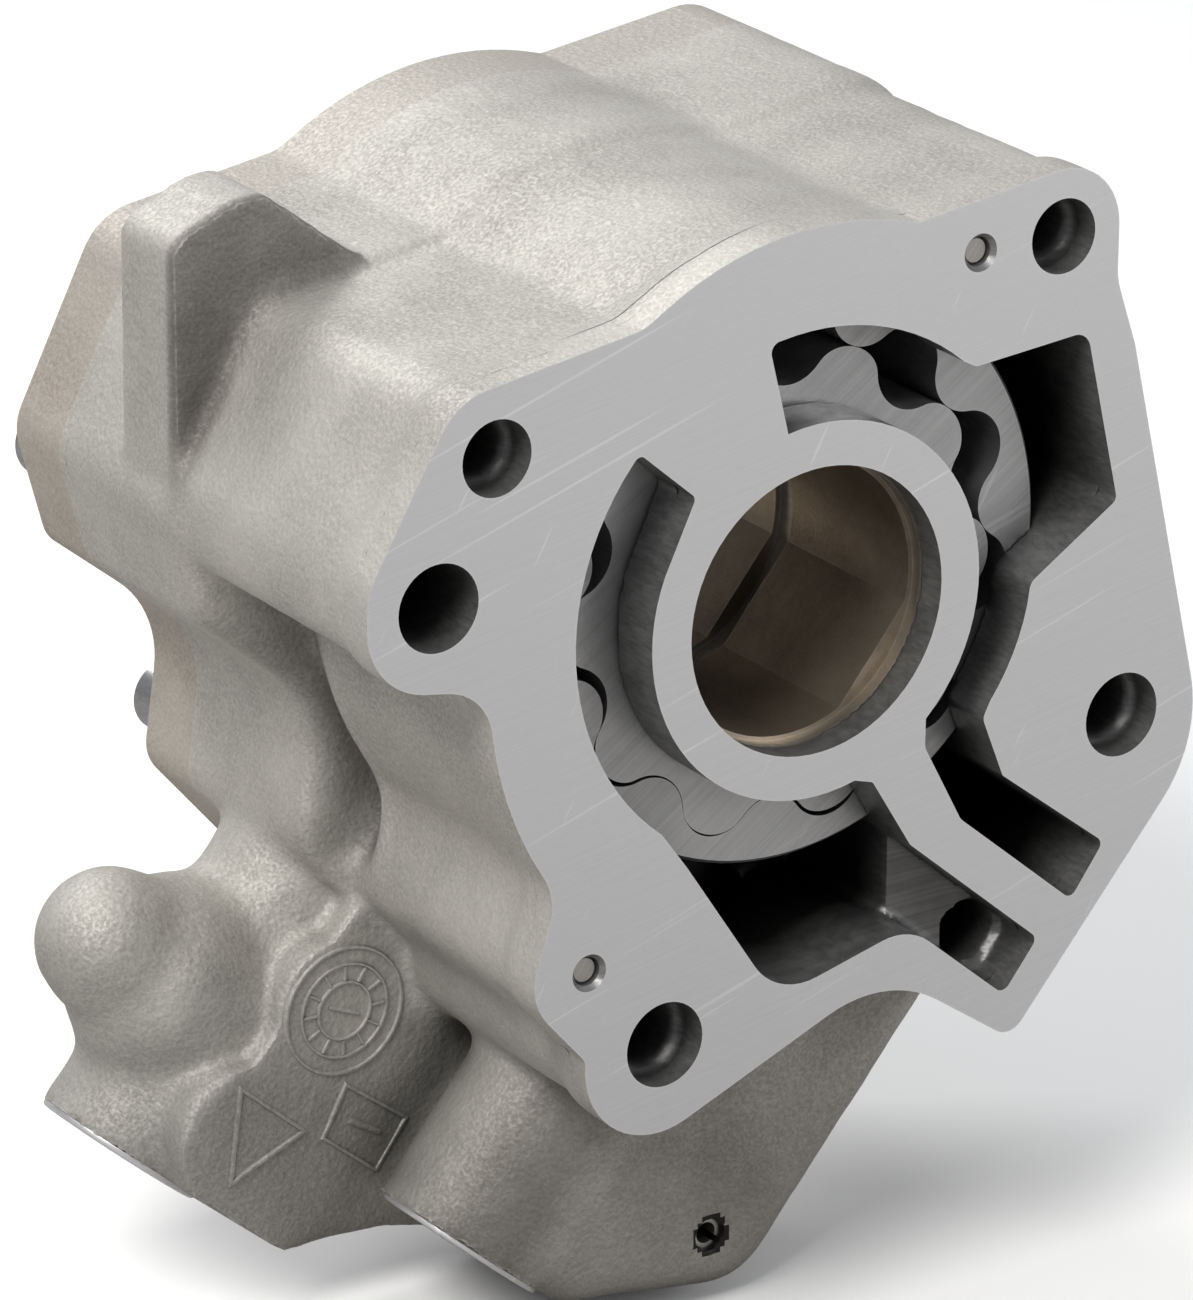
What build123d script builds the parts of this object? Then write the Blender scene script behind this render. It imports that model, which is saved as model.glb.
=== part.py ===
from build123d import *
import os
from math import cos, pi, radians, sin

os.makedirs("parts", exist_ok=True)

# Driving dimensions in millimetres. X points right, Z up, Y from the ported face into the pump.
# The origin is the centre of the drive bore on the ported face.
port_wall = 6.8
feed_width = 20.0
front_plate_thickness = 3.0
middle_width = 12.0
port_plate_thickness = 2.5
spring_gap = 2.0
end_play = 0.05
body_depth = 62.0
cover_thickness = 10.0

# Rotor sets
lobe_count = 10
tooth_count = lobe_count + 1
tooth_circle = 29.6
tooth_radius = 4.5
eccentricity = 2.1
mesh_gap = 0.06
rotor_bevel = 0.4
hub_entry = 1.5
root_relief = 0.15
feed_rotor_radius = 32.4
middle_rotor_radius = 33.0
rear_rotor_radius = 33.6
rotor_clearance = 0.1
open_side = 70.0
drive_radius = 15.5
flat_distance = 28.0
flat_angle = -39.6
arcs_per_lobe = 6

# Drive bore and its ring
bore_radius = 16.0
ring_radius = 20.9
hub_start = 3.7
hub_radius = 18.4
hub_clearance = 0.05
hub_overlap = 1.0

# Ported face
fixing_radius = 4.15
fixing_small_radius = 3.25
fixing_wide_radius = 4.8
fixing_wide_small_radius = 3.9
fixing_ledge = 4.5
fixing_depth = 26.0
passage_seat = 24.0
passage_radius = 3.2
passage_depth = 41.2
cross_depth = 38.0
cross_length = 16.0
dowel_radius = 1.6
dowel_length = 14.0
dowel_recess = 1.0
dowel_seat_bevel = 0.5
dowel_clearance = 0.02
dowel_bevel = 0.3
lip_depth = 6.0
lip_inset = 0.8
rear_block_start = body_depth - 24.0
front_block_end = rear_block_start + 6.0
deep_pocket = 24.0
right_pocket = 24.0
shallow_pocket = 6.0

# Relief arm. Its long direction is arm_angle from X. Sketches on it use the distance across and along.
arm_angle = 49.5
arm_back = body_depth - 18.0
arm_front = arm_back - 30.0
arm_side = 56.2
arm_left = 23.6
arm_boss_start = -30.0
arm_round = 3.0
relief_depth = body_depth - 37.5
relief_across = 47.5
relief_bore_radius = 6.5
relief_inlet_radius = 5.0
relief_seat = -10.9
relief_mouth = -72.0
relief_top = -3.0
relief_window = -17.9
relief_window_radius = 3.5
piston_clearance = 0.03
piston_length = 15.0
piston_wall = 1.3
piston_crown = 3.0
piston_bevel = 0.4
seat_gap = 0.02
plug_face = -67.0
plug_length = 12.0
plug_seal_start = 1.4
plug_seal_width = 2.0
plug_seal_depth = 1.2
pin_along = -60.9
pin_radius = 1.75
pin_wall = 0.5
pin_slot = 0.7
pin_length = 20.0
pin_recess = 1.0
pin_clearance = 0.02
spring_wire = 1.4
spring_radius = 4.2
spring_turns = 5.0
inlet_radius = 5.2
arm_end = -76.0
suction_across = 26.6
suction_start = -26.0
arm_corners = [
    (arm_side, -8.0, 4.0),
    (arm_side, -63.5, 8.0),
    (36.0, arm_end, 6.0),
    (arm_left, arm_end, 1.0),
    (arm_left, -36.0, 4.0),
]

# Gusset that stands proud of the sloped upper left side
gusset_back = body_depth - 12.0
gusset_front = gusset_back - 11.0
gusset_corners = [
    (-54.6, 10.0, 1.0),
    (-54.3, 39.4, 3.0),
    (-47.2, 42.5, 5.0),
    (-43.2, 43.1, 1.5),
    (-30.8, 33.6, 1.0),
    (-40.0, 22.0, 1.0),
]

# Inner passages and the key of the plates
scavenge_pocket_radius = 35.7
suction_sector = (160, 250)
discharge_sector = (-62, 30)
sector_reach = 90.0
key_angle = 112.0
key_width = 6.0
key_reach = 35.2
key_clearance = 0.05
plate_clearance = 0.05
plate_bore_radius = 16.4
kidney_inner = 22.9
kidney_outer = 29.2
kidney_depth = 1.2
kidney_channel = 7.0
kidney_channel_length = 17.4
kidney_land = 22.0
suction_channel = 200.0
discharge_channel = -15.0

# Scavenge inlet arm beside the relief arm
inlet_depth = body_depth - 12.0
inlet_outer_radius = 10.0
inlet_arm_start = -26.0
inlet_bore_start = -28.0
inlet_end = -87.5
dome_along = -69.2
dome_reach = 16.5
dome_radius = 8.3
collar_radius = 11.6
collar_reach = 13.0
collar_round = 3.0
collar_drop = 1.2
collar_neck = 2.0
pad_front = inlet_depth - 14.0
pad_back = inlet_depth - 4.0
pad_radius = 8.4
pad_centres = [(4.7, -61.5), (3.1, -79.0)]
pad_corners = [
    (-1.5, -34.0, 1.0),
    (-1.5, inlet_end, 3.0),
    (17.0, inlet_end, 6.0),
    (26.0, -80.0, 6.0),
    (40.0, -73.0, 3.0),
    (40.0, -34.0, 1.0),
]

# Wave spring
wave_radius = 26.0
wave_width = 4.0
wave_thickness = 0.4
wave_count = 4
wave_steps = 32
wave_clearance = 0.02

# Rear cover
cover_bore_radius = 17.0
screw_radius = 2.5
screw_head_radius = 4.2
screw_head_height = 5.0
screw_key = 4.0
screw_key_depth = 2.6
screw_length = 20.0
screw_hole_depth = 11.0
screw_gap = 0.25
screw_clearance = 0.02
head_seat_depth = 0.6
head_bevel = 0.4
head_gap = 0.4
ring_dowel_radius = 4.0
ring_dowel_wall = 1.2
ring_dowel_length = 8.0
ring_dowel_gap = 0.1
seal_centre_radius = 37.45
seal_width = 1.7
seal_height = 1.2
outlet_radius = 5.0
outlet_boss_radius = 9.0
outlet_boss_height = 5.0
inlet_seal_width = 2.0
inlet_seal_height = 2.0
inlet_seal_groove = 1.4
inlet_seal_centre = 7.4
seal_side_gap = 0.05
outlet_seal_centre = 7.0
cover_bevel = 0.8
cover_hub_radius = 21.0
cover_kidney_depth = 3.0
outlet_centre = (27.6, -4.0)

arm_along = (cos(radians(arm_angle)), sin(radians(arm_angle)))
arm_across = (sin(radians(arm_angle)), -cos(radians(arm_angle)))


def at_depth(depth):
    return Plane.XZ.offset(-depth)


def arm_plane(depth):
    return Plane(origin=(0, depth, 0), x_dir=(arm_across[0], 0, arm_across[1]), z_dir=(0, -1, 0))


def arm_point(across, along, depth):
    x = across * arm_across[0] + along * arm_along[0]
    z = across * arm_across[1] + along * arm_along[1]
    return (x, depth, z)


def down_the_arm(across, along, depth):
    return Plane(
        origin=arm_point(across, along, depth),
        x_dir=(0, 1, 0),
        z_dir=(-arm_along[0], 0, -arm_along[1]),
    )


def polar(radius, degrees, centre=(0, 0)):
    x = centre[0] + radius * cos(radians(degrees))
    z = centre[1] + radius * sin(radians(degrees))
    return (x, z)


rotor_centre = polar(eccentricity, open_side)
inlet_mouths = [(suction_across, arm_end, relief_depth), (0, inlet_end, inlet_depth)]
feed_end = port_wall + feed_width
middle_start = feed_end + front_plate_thickness
middle_end = middle_start + middle_width
spring_start = middle_end + port_plate_thickness
rear_plate_start = spring_start + spring_gap
rear_start = rear_plate_start + port_plate_thickness
rear_width = body_depth - rear_start

# Hole centres on the ported face
hole_top_right = (31.1, 35.5)
hole_top_left = (-39.8, 25.15)
hole_left = (-46.9, 10.5)
hole_right = (40.5, -20.75)
hole_bottom = (-19.15, -44.8)
dowel_centres = [(20.3, 35.7), (-28.7, -34.2)]
screw_centres = [
    (31.1, 35.0),
    (-40.0, 24.2),
    (-48.6, 6.0),
    (-34.6, -27.0),
    (-19.15, -44.8),
    (24.3, -48.0),
    (41.5, -18.0),
]
ring_dowel_centres = [screw_centres[0], screw_centres[4]]

# Corner points with their rounding, clockwise from the top
right_side = [
    (-21.97, 35.4, 6.0),
    (-4.7, 45.8, 38.0),
    (12.3, 40.5, 1.5),
    (38.5, 44.0, 7.4),
    (38.4, 29.4, 8.0),
    (41.0, 21.6, 6.0),
    (51.7, -26.05, 16.0),
    (26.4, -55.6, 2.5),
    (9.53, -43.7, 15.0),
]
front_corners = right_side + [
    (-29.2, -59.3, 9.3),
    (-29.2, -44.2, 1.5),
    (-36.45, -35.7, 6.8),
    (-32.56, -24.9, 7.0),
    (-39.21, -14.16, 40.8),
    (-41.2, 0.12, 6.5),
    (-55.4, 2.8, 8.2),
    (-55.4, 13.7, 8.2),
    (-44.57, 32.16, 7.6),
]
rear_corners = right_side + [
    (-29.2, -59.3, 9.3),
    (-29.2, -44.8, 1.5),
    (-40.4, -31.5, 5.0),
    (-37.9, -14.6, 12.0),
    (-52.0, -3.0, 4.0),
    (-55.6, 10.5, 6.0),
    (-44.57, 32.16, 7.6),
]


# Left port, open to the suction pocket below it. The short outline is over the ring, the long one below.
left_port_upper = [
    polar(ring_radius, 157),
    (-15.5, 15.9),
    (-22.5, 22.1),
    (-24.4, 19.8),
]
left_port_upper_roundings = [0.8, 0.8]
left_port_side = (-30.3, 0.5)
left_port_lower = [
    (-19.6, -20.7),
    (-16.4, -25.2),
    (-4.76, -43.12),
    (12.42, -38.95),
    (25.3, -50.1),
    (29.8, -44.5),
    (12.45, -29.4),
    (7.4, -21.0),
    polar(ring_radius, 284),
]
left_port_lower_roundings = [2.0, 7.5, 7.0, 1.2, 1.0, 2.0, 0.6]
return_slot_start = 13.6

# Right port, open to the pressure pocket beside it
right_port_upper = [
    polar(ring_radius, 101),
    (-6.2, 29.6),
    (-5.9, 30.5),
    (-5.0, 30.9),
]
right_port_top = (5.1, 30.7)
right_port_outer = [
    (18.4, 24.1),
    (20.0, 23.2),
    (34.6, 24.3),
    (39.1, 4.4),
    (27.8, -2.7),
    (27.4, -5.2),
]
right_port_outer_roundings = [1.0, 2.0, 1.0, 1.5]
right_port_side = (25.9, -9.8)
right_port_lower = [
    (22.7, -15.2),
    (21.8, -17.0),
    (24.6, -24.2),
    (38.5, -35.2),
    (34.2, -41.0),
    (19.1, -28.0),
    (14.2, -18.6),
    polar(ring_radius, -47),
]
right_port_lower_roundings = [1.2, 0.8, 1.0, 1.0, 1.5, 1.5]


def rounded_outline(corners):
    points = [(x, z) for x, z, rounding in corners]
    roundings = [rounding for x, z, rounding in corners]
    return FilletPolyline(*points, radius=roundings, close=True)


def lobe_point(angle):
    x = tooth_circle * cos(angle) + eccentricity * cos(tooth_count * angle)
    z = tooth_circle * sin(angle) + eccentricity * sin(tooth_count * angle)
    along_x = -tooth_circle * sin(angle) - tooth_count * eccentricity * sin(tooth_count * angle)
    along_z = tooth_circle * cos(angle) + tooth_count * eccentricity * cos(tooth_count * angle)
    length = (along_x**2 + along_z**2) ** 0.5
    inset = tooth_radius + mesh_gap
    return (x - inset * along_z / length, z + inset * along_x / length)


def lobed_outline():
    step = 2 * pi / (lobe_count * arcs_per_lobe)
    for arc in range(lobe_count * arcs_per_lobe):
        start = (arc + 0.5) * step
        ThreePointArc(lobe_point(start), lobe_point(start + step / 2), lobe_point(start + step))


root_radius = tooth_circle + 2 * eccentricity - tooth_radius + root_relief
half_pitch = 180 / tooth_count
reach = tooth_radius + root_radius
root_centre = (reach**2 - tooth_circle**2) / (2 * (reach - tooth_circle * cos(radians(half_pitch))))


def towards(start, end, distance):
    length = ((end[0] - start[0]) ** 2 + (end[1] - start[1]) ** 2) ** 0.5
    x = start[0] + (end[0] - start[0]) * distance / length
    z = start[1] + (end[1] - start[1]) * distance / length
    return (x, z)


def toothed_outline():
    for tooth in range(tooth_count):
        middle = open_side + 2 * half_pitch * tooth
        tooth_middle = polar(tooth_circle, middle, rotor_centre)
        root_before = polar(root_centre, middle - half_pitch, rotor_centre)
        root_after = polar(root_centre, middle + half_pitch, rotor_centre)
        next_tooth = polar(tooth_circle, middle + 2 * half_pitch, rotor_centre)
        leave = towards(tooth_middle, root_after, tooth_radius)
        ThreePointArc(
            towards(tooth_middle, root_before, tooth_radius),
            polar(tooth_circle - tooth_radius, middle, rotor_centre),
            leave,
        )
        ThreePointArc(
            leave,
            polar(root_radius, middle + half_pitch, rotor_centre),
            towards(next_tooth, root_after, tooth_radius),
        )


def drive_profile(mode=Mode.ADD):
    with BuildSketch(Plane.XY, mode=Mode.PRIVATE) as bore:
        Circle(drive_radius)
        Rectangle(flat_distance, 2 * bore_radius, rotation=flat_angle, mode=Mode.INTERSECT)
    add(bore.sketch, mode=mode)


def key_outline(clearance):
    middle = polar((key_reach + kidney_outer) / 2, key_angle, rotor_centre)
    with Locations(middle):
        Rectangle(
            key_reach - kidney_outer + 2 * clearance,
            key_width + 2 * clearance,
            rotation=key_angle,
        )


def kidney(start, end):
    middle = (start + end) / 2
    with BuildLine() as edge:
        ThreePointArc(
            polar(kidney_outer, start, rotor_centre),
            polar(kidney_outer, middle, rotor_centre),
            polar(kidney_outer, end, rotor_centre),
        )
        Line(polar(kidney_outer, end, rotor_centre), polar(kidney_inner, end, rotor_centre))
        ThreePointArc(
            polar(kidney_inner, end, rotor_centre),
            polar(kidney_inner, middle, rotor_centre),
            polar(kidney_inner, start, rotor_centre),
        )
        Line(polar(kidney_inner, start, rotor_centre), polar(kidney_outer, start, rotor_centre))
    make_face(edge.edges())


def kidneys():
    kidney(open_side + kidney_land, open_side + 180 - kidney_land)
    kidney(open_side - 180 + kidney_land, open_side - kidney_land)


def kidney_channels():
    for angle in (suction_channel, discharge_channel):
        with Locations(polar(rear_rotor_radius, angle, rotor_centre)):
            Rectangle(kidney_channel_length, kidney_channel, rotation=angle)


def left_port():
    ThreePointArc(left_port_lower[-1], polar(ring_radius, 221), left_port_upper[0])
    FilletPolyline(*left_port_upper, radius=left_port_upper_roundings)
    ThreePointArc(left_port_upper[-1], left_port_side, left_port_lower[0])
    FilletPolyline(*left_port_lower, radius=left_port_lower_roundings)


def right_port():
    ThreePointArc(right_port_lower[-1], polar(ring_radius, 27), right_port_upper[0])
    Line(right_port_upper[0], right_port_upper[1])
    ThreePointArc(*right_port_upper[1:4])
    ThreePointArc(right_port_upper[3], right_port_top, right_port_outer[0])
    FilletPolyline(*right_port_outer, radius=right_port_outer_roundings)
    ThreePointArc(right_port_outer[-1], right_port_side, right_port_lower[0])
    FilletPolyline(*right_port_lower, radius=right_port_lower_roundings)


dome_plane = Plane(
    origin=arm_point(0, dome_along, inlet_depth),
    x_dir=(-arm_across[0], 0, -arm_across[1]),
    z_dir=(arm_across[1], 0, -arm_across[0]),
)

# The body casting
with BuildPart() as pump_body:
    # Relief arm: a block round the relief bore, and the round boss of the suction inlet on its left
    with BuildSketch(arm_plane(arm_front)):
        with BuildLine():
            rounded_outline(arm_corners)
        make_face()
    extrude(amount=-(arm_back - arm_front))
    fillet(faces().sort_by(Axis.Y)[0].edges(), arm_round)
    with BuildSketch(down_the_arm(suction_across, arm_boss_start, relief_depth)):
        Circle(relief_depth - arm_front)
    extrude(amount=arm_boss_start - arm_end)
    # Plate with the round pads
    with BuildSketch(arm_plane(pad_front)):
        with BuildLine():
            rounded_outline(pad_corners)
        make_face()
        with Locations(*pad_centres):
            Circle(pad_radius)
    extrude(amount=-(pad_back - pad_front))
    # Scavenge inlet arm with its domed passage end
    with BuildSketch(down_the_arm(0, inlet_arm_start, inlet_depth)):
        Circle(inlet_outer_radius)
    extrude(amount=inlet_arm_start - inlet_end)
    with BuildSketch(dome_plane):
        with BuildLine():
            Polyline(
                (0, 0),
                (0, collar_radius),
                (collar_reach - collar_round, collar_radius),
                (collar_reach, collar_radius - collar_drop),
                (collar_reach + collar_neck, dome_radius),
                (dome_reach, dome_radius),
            )
            ThreePointArc(
                (dome_reach, dome_radius),
                polar(dome_radius, 45, (dome_reach, 0)),
                (dome_reach + dome_radius, 0),
            )
            Line((dome_reach + dome_radius, 0), (0, 0))
        make_face()
    revolve(axis=Axis(dome_plane.origin, dome_plane.x_dir))
    # Main block: front outline behind the lip, rear outline up to the joint face
    with BuildSketch(at_depth(0)):
        with BuildLine():
            rounded_outline(front_corners)
        make_face()
    extrude(amount=-lip_depth)
    with BuildSketch(at_depth(0)):
        with BuildLine():
            rounded_outline(front_corners)
        make_face()
        offset(amount=-lip_inset)
    extrude(amount=-front_block_end)
    with BuildSketch(at_depth(rear_block_start)):
        with BuildLine():
            rounded_outline(rear_corners)
        make_face()
    extrude(amount=-(body_depth - rear_block_start))
    # Gusset at the upper left
    with BuildSketch(at_depth(gusset_front)):
        with BuildLine():
            rounded_outline(gusset_corners)
        make_face()
    extrude(amount=-(gusset_back - gusset_front))
    # Drive bore, hub seat and the stepped rotor chamber
    with BuildSketch(at_depth(0)):
        Circle(bore_radius)
    extrude(amount=-port_wall, mode=Mode.SUBTRACT)
    with BuildSketch(at_depth(hub_start)):
        Circle(hub_radius + hub_clearance)
    extrude(amount=-(port_wall - hub_start), mode=Mode.SUBTRACT)
    with BuildSketch(at_depth(port_wall)):
        with Locations(rotor_centre):
            Circle(feed_rotor_radius + rotor_clearance)
    extrude(amount=-feed_width, mode=Mode.SUBTRACT)
    with BuildSketch(at_depth(feed_end)):
        with Locations(rotor_centre):
            Circle(middle_rotor_radius + rotor_clearance)
    extrude(amount=-(middle_end - feed_end), mode=Mode.SUBTRACT)
    with BuildSketch(at_depth(middle_end)):
        with Locations(rotor_centre):
            Circle(rear_rotor_radius + rotor_clearance)
    extrude(amount=-(body_depth - middle_end), mode=Mode.SUBTRACT)
    with BuildSketch(at_depth(feed_end)):
        key_outline(key_clearance)
    extrude(amount=-(body_depth - feed_end), mode=Mode.SUBTRACT)
    # Pockets that feed the two scavenge sets
    for sector in (suction_sector, discharge_sector):
        with BuildSketch(at_depth(middle_start)):
            Polygon(
                (0, 0),
                polar(sector_reach, sector[0]),
                polar(sector_reach, sum(sector) / 2),
                polar(sector_reach, sector[1]),
                align=None,
            )
            with Locations(rotor_centre):
                Circle(scavenge_pocket_radius, mode=Mode.INTERSECT)
        extrude(amount=-(body_depth - middle_start), mode=Mode.SUBTRACT)
    # Ports and pockets of the feed set
    with BuildSketch(at_depth(0)):
        with BuildLine():
            right_port()
        make_face()
    extrude(amount=-right_pocket, mode=Mode.SUBTRACT)
    with BuildSketch(at_depth(0)):
        with BuildLine():
            left_port()
        make_face()
    extrude(amount=-shallow_pocket, mode=Mode.SUBTRACT)
    with BuildSketch(at_depth(0)):
        with BuildLine():
            left_port()
        make_face()
        with Locations((return_slot_start, 0)):
            Rectangle(
                body_depth,
                2 * body_depth,
                align=(Align.MIN, Align.CENTER),
                mode=Mode.SUBTRACT,
            )
    extrude(amount=-deep_pocket, mode=Mode.SUBTRACT)
    # Relief bore, its inlet, window and mouth
    with BuildSketch(down_the_arm(relief_across, relief_seat, relief_depth)):
        Circle(relief_bore_radius)
    extrude(amount=relief_seat - relief_mouth, mode=Mode.SUBTRACT)
    with BuildSketch(down_the_arm(relief_across, relief_top, relief_depth)):
        Circle(relief_inlet_radius)
    extrude(amount=relief_top - relief_seat, mode=Mode.SUBTRACT)
    with BuildSketch(arm_plane(shallow_pocket)):
        with Locations((relief_across, relief_window)):
            Circle(relief_window_radius)
    extrude(amount=-(relief_depth - shallow_pocket), mode=Mode.SUBTRACT)
    with BuildSketch(arm_plane(arm_front)):
        with Locations((relief_across, pin_along)):
            Circle(pin_radius + pin_clearance)
    extrude(amount=-(pin_recess + pin_length), mode=Mode.SUBTRACT)
    # Suction inlet and scavenge inlet with the grooves of their rings
    with BuildSketch(down_the_arm(suction_across, suction_start, relief_depth)):
        Circle(inlet_radius)
    extrude(amount=suction_start - arm_end, mode=Mode.SUBTRACT)
    with BuildSketch(down_the_arm(0, inlet_bore_start, inlet_depth)):
        Circle(inlet_radius)
    extrude(amount=inlet_bore_start - inlet_end, mode=Mode.SUBTRACT)
    for across, end, depth in inlet_mouths:
        with BuildSketch(down_the_arm(across, end + inlet_seal_groove, depth)):
            Circle(inlet_seal_centre + inlet_seal_width / 2)
            Circle(inlet_seal_centre - inlet_seal_width / 2, mode=Mode.SUBTRACT)
        extrude(amount=inlet_seal_groove, mode=Mode.SUBTRACT)
    # Cross passage from the left hole into the middle chamber
    with BuildSketch(
        Plane(origin=(hole_left[0], cross_depth, hole_left[1]), x_dir=(0, 1, 0), z_dir=(1, 0, 0))
    ):
        Circle(passage_radius)
    extrude(amount=cross_length, mode=Mode.SUBTRACT)
    # Fixing holes, left hole and dowel holes
    with Locations(at_depth(0)):
        with Locations(hole_top_right, hole_top_left):
            CounterBoreHole(fixing_small_radius, fixing_radius, fixing_ledge, depth=fixing_depth)
        with Locations(hole_right, hole_bottom):
            CounterBoreHole(fixing_wide_small_radius, fixing_wide_radius, fixing_ledge, depth=fixing_depth)
        with Locations(hole_left):
            CounterBoreHole(passage_radius, fixing_wide_radius, passage_seat, depth=passage_depth)
        with Locations(*dowel_centres):
            CounterSinkHole(
                dowel_radius + dowel_clearance,
                dowel_radius + dowel_seat_bevel,
                depth=dowel_recess + dowel_length,
            )
    # Tapped holes and ring dowel seats on the joint face
    with BuildSketch(at_depth(body_depth)):
        with Locations(*screw_centres):
            Circle(screw_radius + screw_clearance)
    extrude(amount=screw_hole_depth, mode=Mode.SUBTRACT)
    with BuildSketch(at_depth(body_depth)):
        with Locations(*ring_dowel_centres):
            Circle(ring_dowel_radius + dowel_clearance)
    extrude(amount=ring_dowel_length / 2, mode=Mode.SUBTRACT)
print("body solids", len(pump_body.solids()), "volume", round(pump_body.part.volume))
pump_body.part.label = "pump_body"
export_step(pump_body.part, "parts/pump_body.step")

# Rear cover
with BuildPart() as rear_cover:
    with BuildSketch(at_depth(body_depth)):
        with BuildLine():
            rounded_outline(rear_corners)
        make_face()
    extrude(amount=-cover_thickness)
    chamfer(faces().sort_by(Axis.Y)[-1].edges(), cover_bevel)
    # Hub ring, outlet boss and screw pads on the back
    with BuildSketch(at_depth(body_depth + cover_thickness)):
        Circle(cover_hub_radius)
        with Locations(outlet_centre):
            Circle(outlet_boss_radius)
    extrude(amount=-outlet_boss_height)
    with BuildSketch(at_depth(body_depth)):
        Circle(cover_bore_radius)
    extrude(amount=-(cover_thickness + outlet_boss_height), mode=Mode.SUBTRACT)
    # Kidneys on the inside and the outlet
    with BuildSketch(at_depth(body_depth)):
        kidneys()
    extrude(amount=-cover_kidney_depth, mode=Mode.SUBTRACT)
    with BuildSketch(at_depth(body_depth)):
        with Locations(outlet_centre):
            Circle(outlet_radius)
    extrude(amount=-(cover_thickness + outlet_boss_height), mode=Mode.SUBTRACT)
    with BuildSketch(at_depth(body_depth + cover_thickness + outlet_boss_height)):
        with Locations(outlet_centre):
            Circle(outlet_seal_centre + inlet_seal_width / 2)
            Circle(outlet_seal_centre - inlet_seal_width / 2, mode=Mode.SUBTRACT)
    extrude(amount=inlet_seal_groove, mode=Mode.SUBTRACT)
    # Groove of the sealing ring
    with BuildSketch(at_depth(body_depth)):
        with Locations(rotor_centre):
            Circle(seal_centre_radius + seal_width / 2)
            Circle(seal_centre_radius - seal_width / 2, mode=Mode.SUBTRACT)
    extrude(amount=-seal_height, mode=Mode.SUBTRACT)
    with BuildSketch(at_depth(body_depth)):
        with Locations(*screw_centres):
            Circle(screw_radius + screw_gap)
    extrude(amount=-(cover_thickness + outlet_boss_height), mode=Mode.SUBTRACT)
    with BuildSketch(at_depth(body_depth + cover_thickness - head_seat_depth)):
        with Locations(*screw_centres):
            Circle(screw_head_radius + head_gap)
    extrude(amount=-(head_seat_depth + outlet_boss_height), mode=Mode.SUBTRACT)
    with BuildSketch(at_depth(body_depth)):
        with Locations(*ring_dowel_centres):
            Circle(ring_dowel_radius + dowel_clearance)
    extrude(amount=-ring_dowel_length / 2, mode=Mode.SUBTRACT)
print("cover solids", len(rear_cover.solids()))
rear_cover.part.label = "rear_cover"
export_step(rear_cover.part, "parts/rear_cover.step")

with BuildPart() as cover_seal:
    with BuildSketch(at_depth(body_depth)):
        with Locations(rotor_centre):
            Circle(seal_centre_radius + seal_width / 2 - seal_side_gap)
            Circle(seal_centre_radius - seal_width / 2 + seal_side_gap, mode=Mode.SUBTRACT)
    extrude(amount=-seal_height)
cover_seal.part.label = "cover_seal"
export_step(cover_seal.part, "parts/cover_seal.step")

# Inner rotors: the feed rotor has a hub that runs in the ring of the ported face
with BuildPart() as feed_inner_rotor:
    with BuildSketch(at_depth(port_wall + end_play)):
        with BuildLine(Plane.XY.rotated((0, 0, open_side))):
            lobed_outline()
        make_face()
    extrude(amount=-(feed_width - 2 * end_play))
    with BuildSketch(at_depth(hub_start + end_play)):
        Circle(hub_radius)
    extrude(amount=-(port_wall - hub_start + hub_overlap))
    with BuildSketch(at_depth(hub_start)):
        drive_profile()
    extrude(amount=-(feed_width + port_wall), mode=Mode.SUBTRACT)
    with BuildSketch(at_depth(hub_start)):
        Circle(bore_radius)
    extrude(amount=-hub_entry, mode=Mode.SUBTRACT)
feed_inner_rotor.part.label = "feed_inner_rotor"
export_step(feed_inner_rotor.part, "parts/feed_inner_rotor.step")

with BuildPart() as middle_inner_rotor:
    with BuildSketch(at_depth(middle_start + end_play)):
        with BuildLine(Plane.XY.rotated((0, 0, open_side))):
            lobed_outline()
        make_face()
        drive_profile(Mode.SUBTRACT)
    extrude(amount=-(middle_width - 2 * end_play))
middle_inner_rotor.part.label = "middle_inner_rotor"
export_step(middle_inner_rotor.part, "parts/middle_inner_rotor.step")

with BuildPart() as rear_inner_rotor:
    with BuildSketch(at_depth(rear_start + end_play)):
        with BuildLine(Plane.XY.rotated((0, 0, open_side))):
            lobed_outline()
        make_face()
        drive_profile(Mode.SUBTRACT)
    extrude(amount=-(rear_width - 2 * end_play))
rear_inner_rotor.part.label = "rear_inner_rotor"
export_step(rear_inner_rotor.part, "parts/rear_inner_rotor.step")

# Outer rotors
with BuildPart() as feed_outer_rotor:
    with BuildSketch(at_depth(port_wall + end_play)):
        with Locations(rotor_centre):
            Circle(feed_rotor_radius)
    extrude(amount=-(feed_width - 2 * end_play))
    chamfer(edges().filter_by(GeomType.CIRCLE), rotor_bevel)
    with BuildSketch(at_depth(0)):
        with BuildLine():
            toothed_outline()
        make_face()
    extrude(amount=-body_depth, mode=Mode.SUBTRACT)
feed_outer_rotor.part.label = "feed_outer_rotor"
export_step(feed_outer_rotor.part, "parts/feed_outer_rotor.step")

with BuildPart() as middle_outer_rotor:
    with BuildSketch(at_depth(middle_start + end_play)):
        with Locations(rotor_centre):
            Circle(middle_rotor_radius)
    extrude(amount=-(middle_width - 2 * end_play))
    chamfer(edges().filter_by(GeomType.CIRCLE), rotor_bevel)
    with BuildSketch(at_depth(0)):
        with BuildLine():
            toothed_outline()
        make_face()
    extrude(amount=-body_depth, mode=Mode.SUBTRACT)
middle_outer_rotor.part.label = "middle_outer_rotor"
export_step(middle_outer_rotor.part, "parts/middle_outer_rotor.step")

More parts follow.
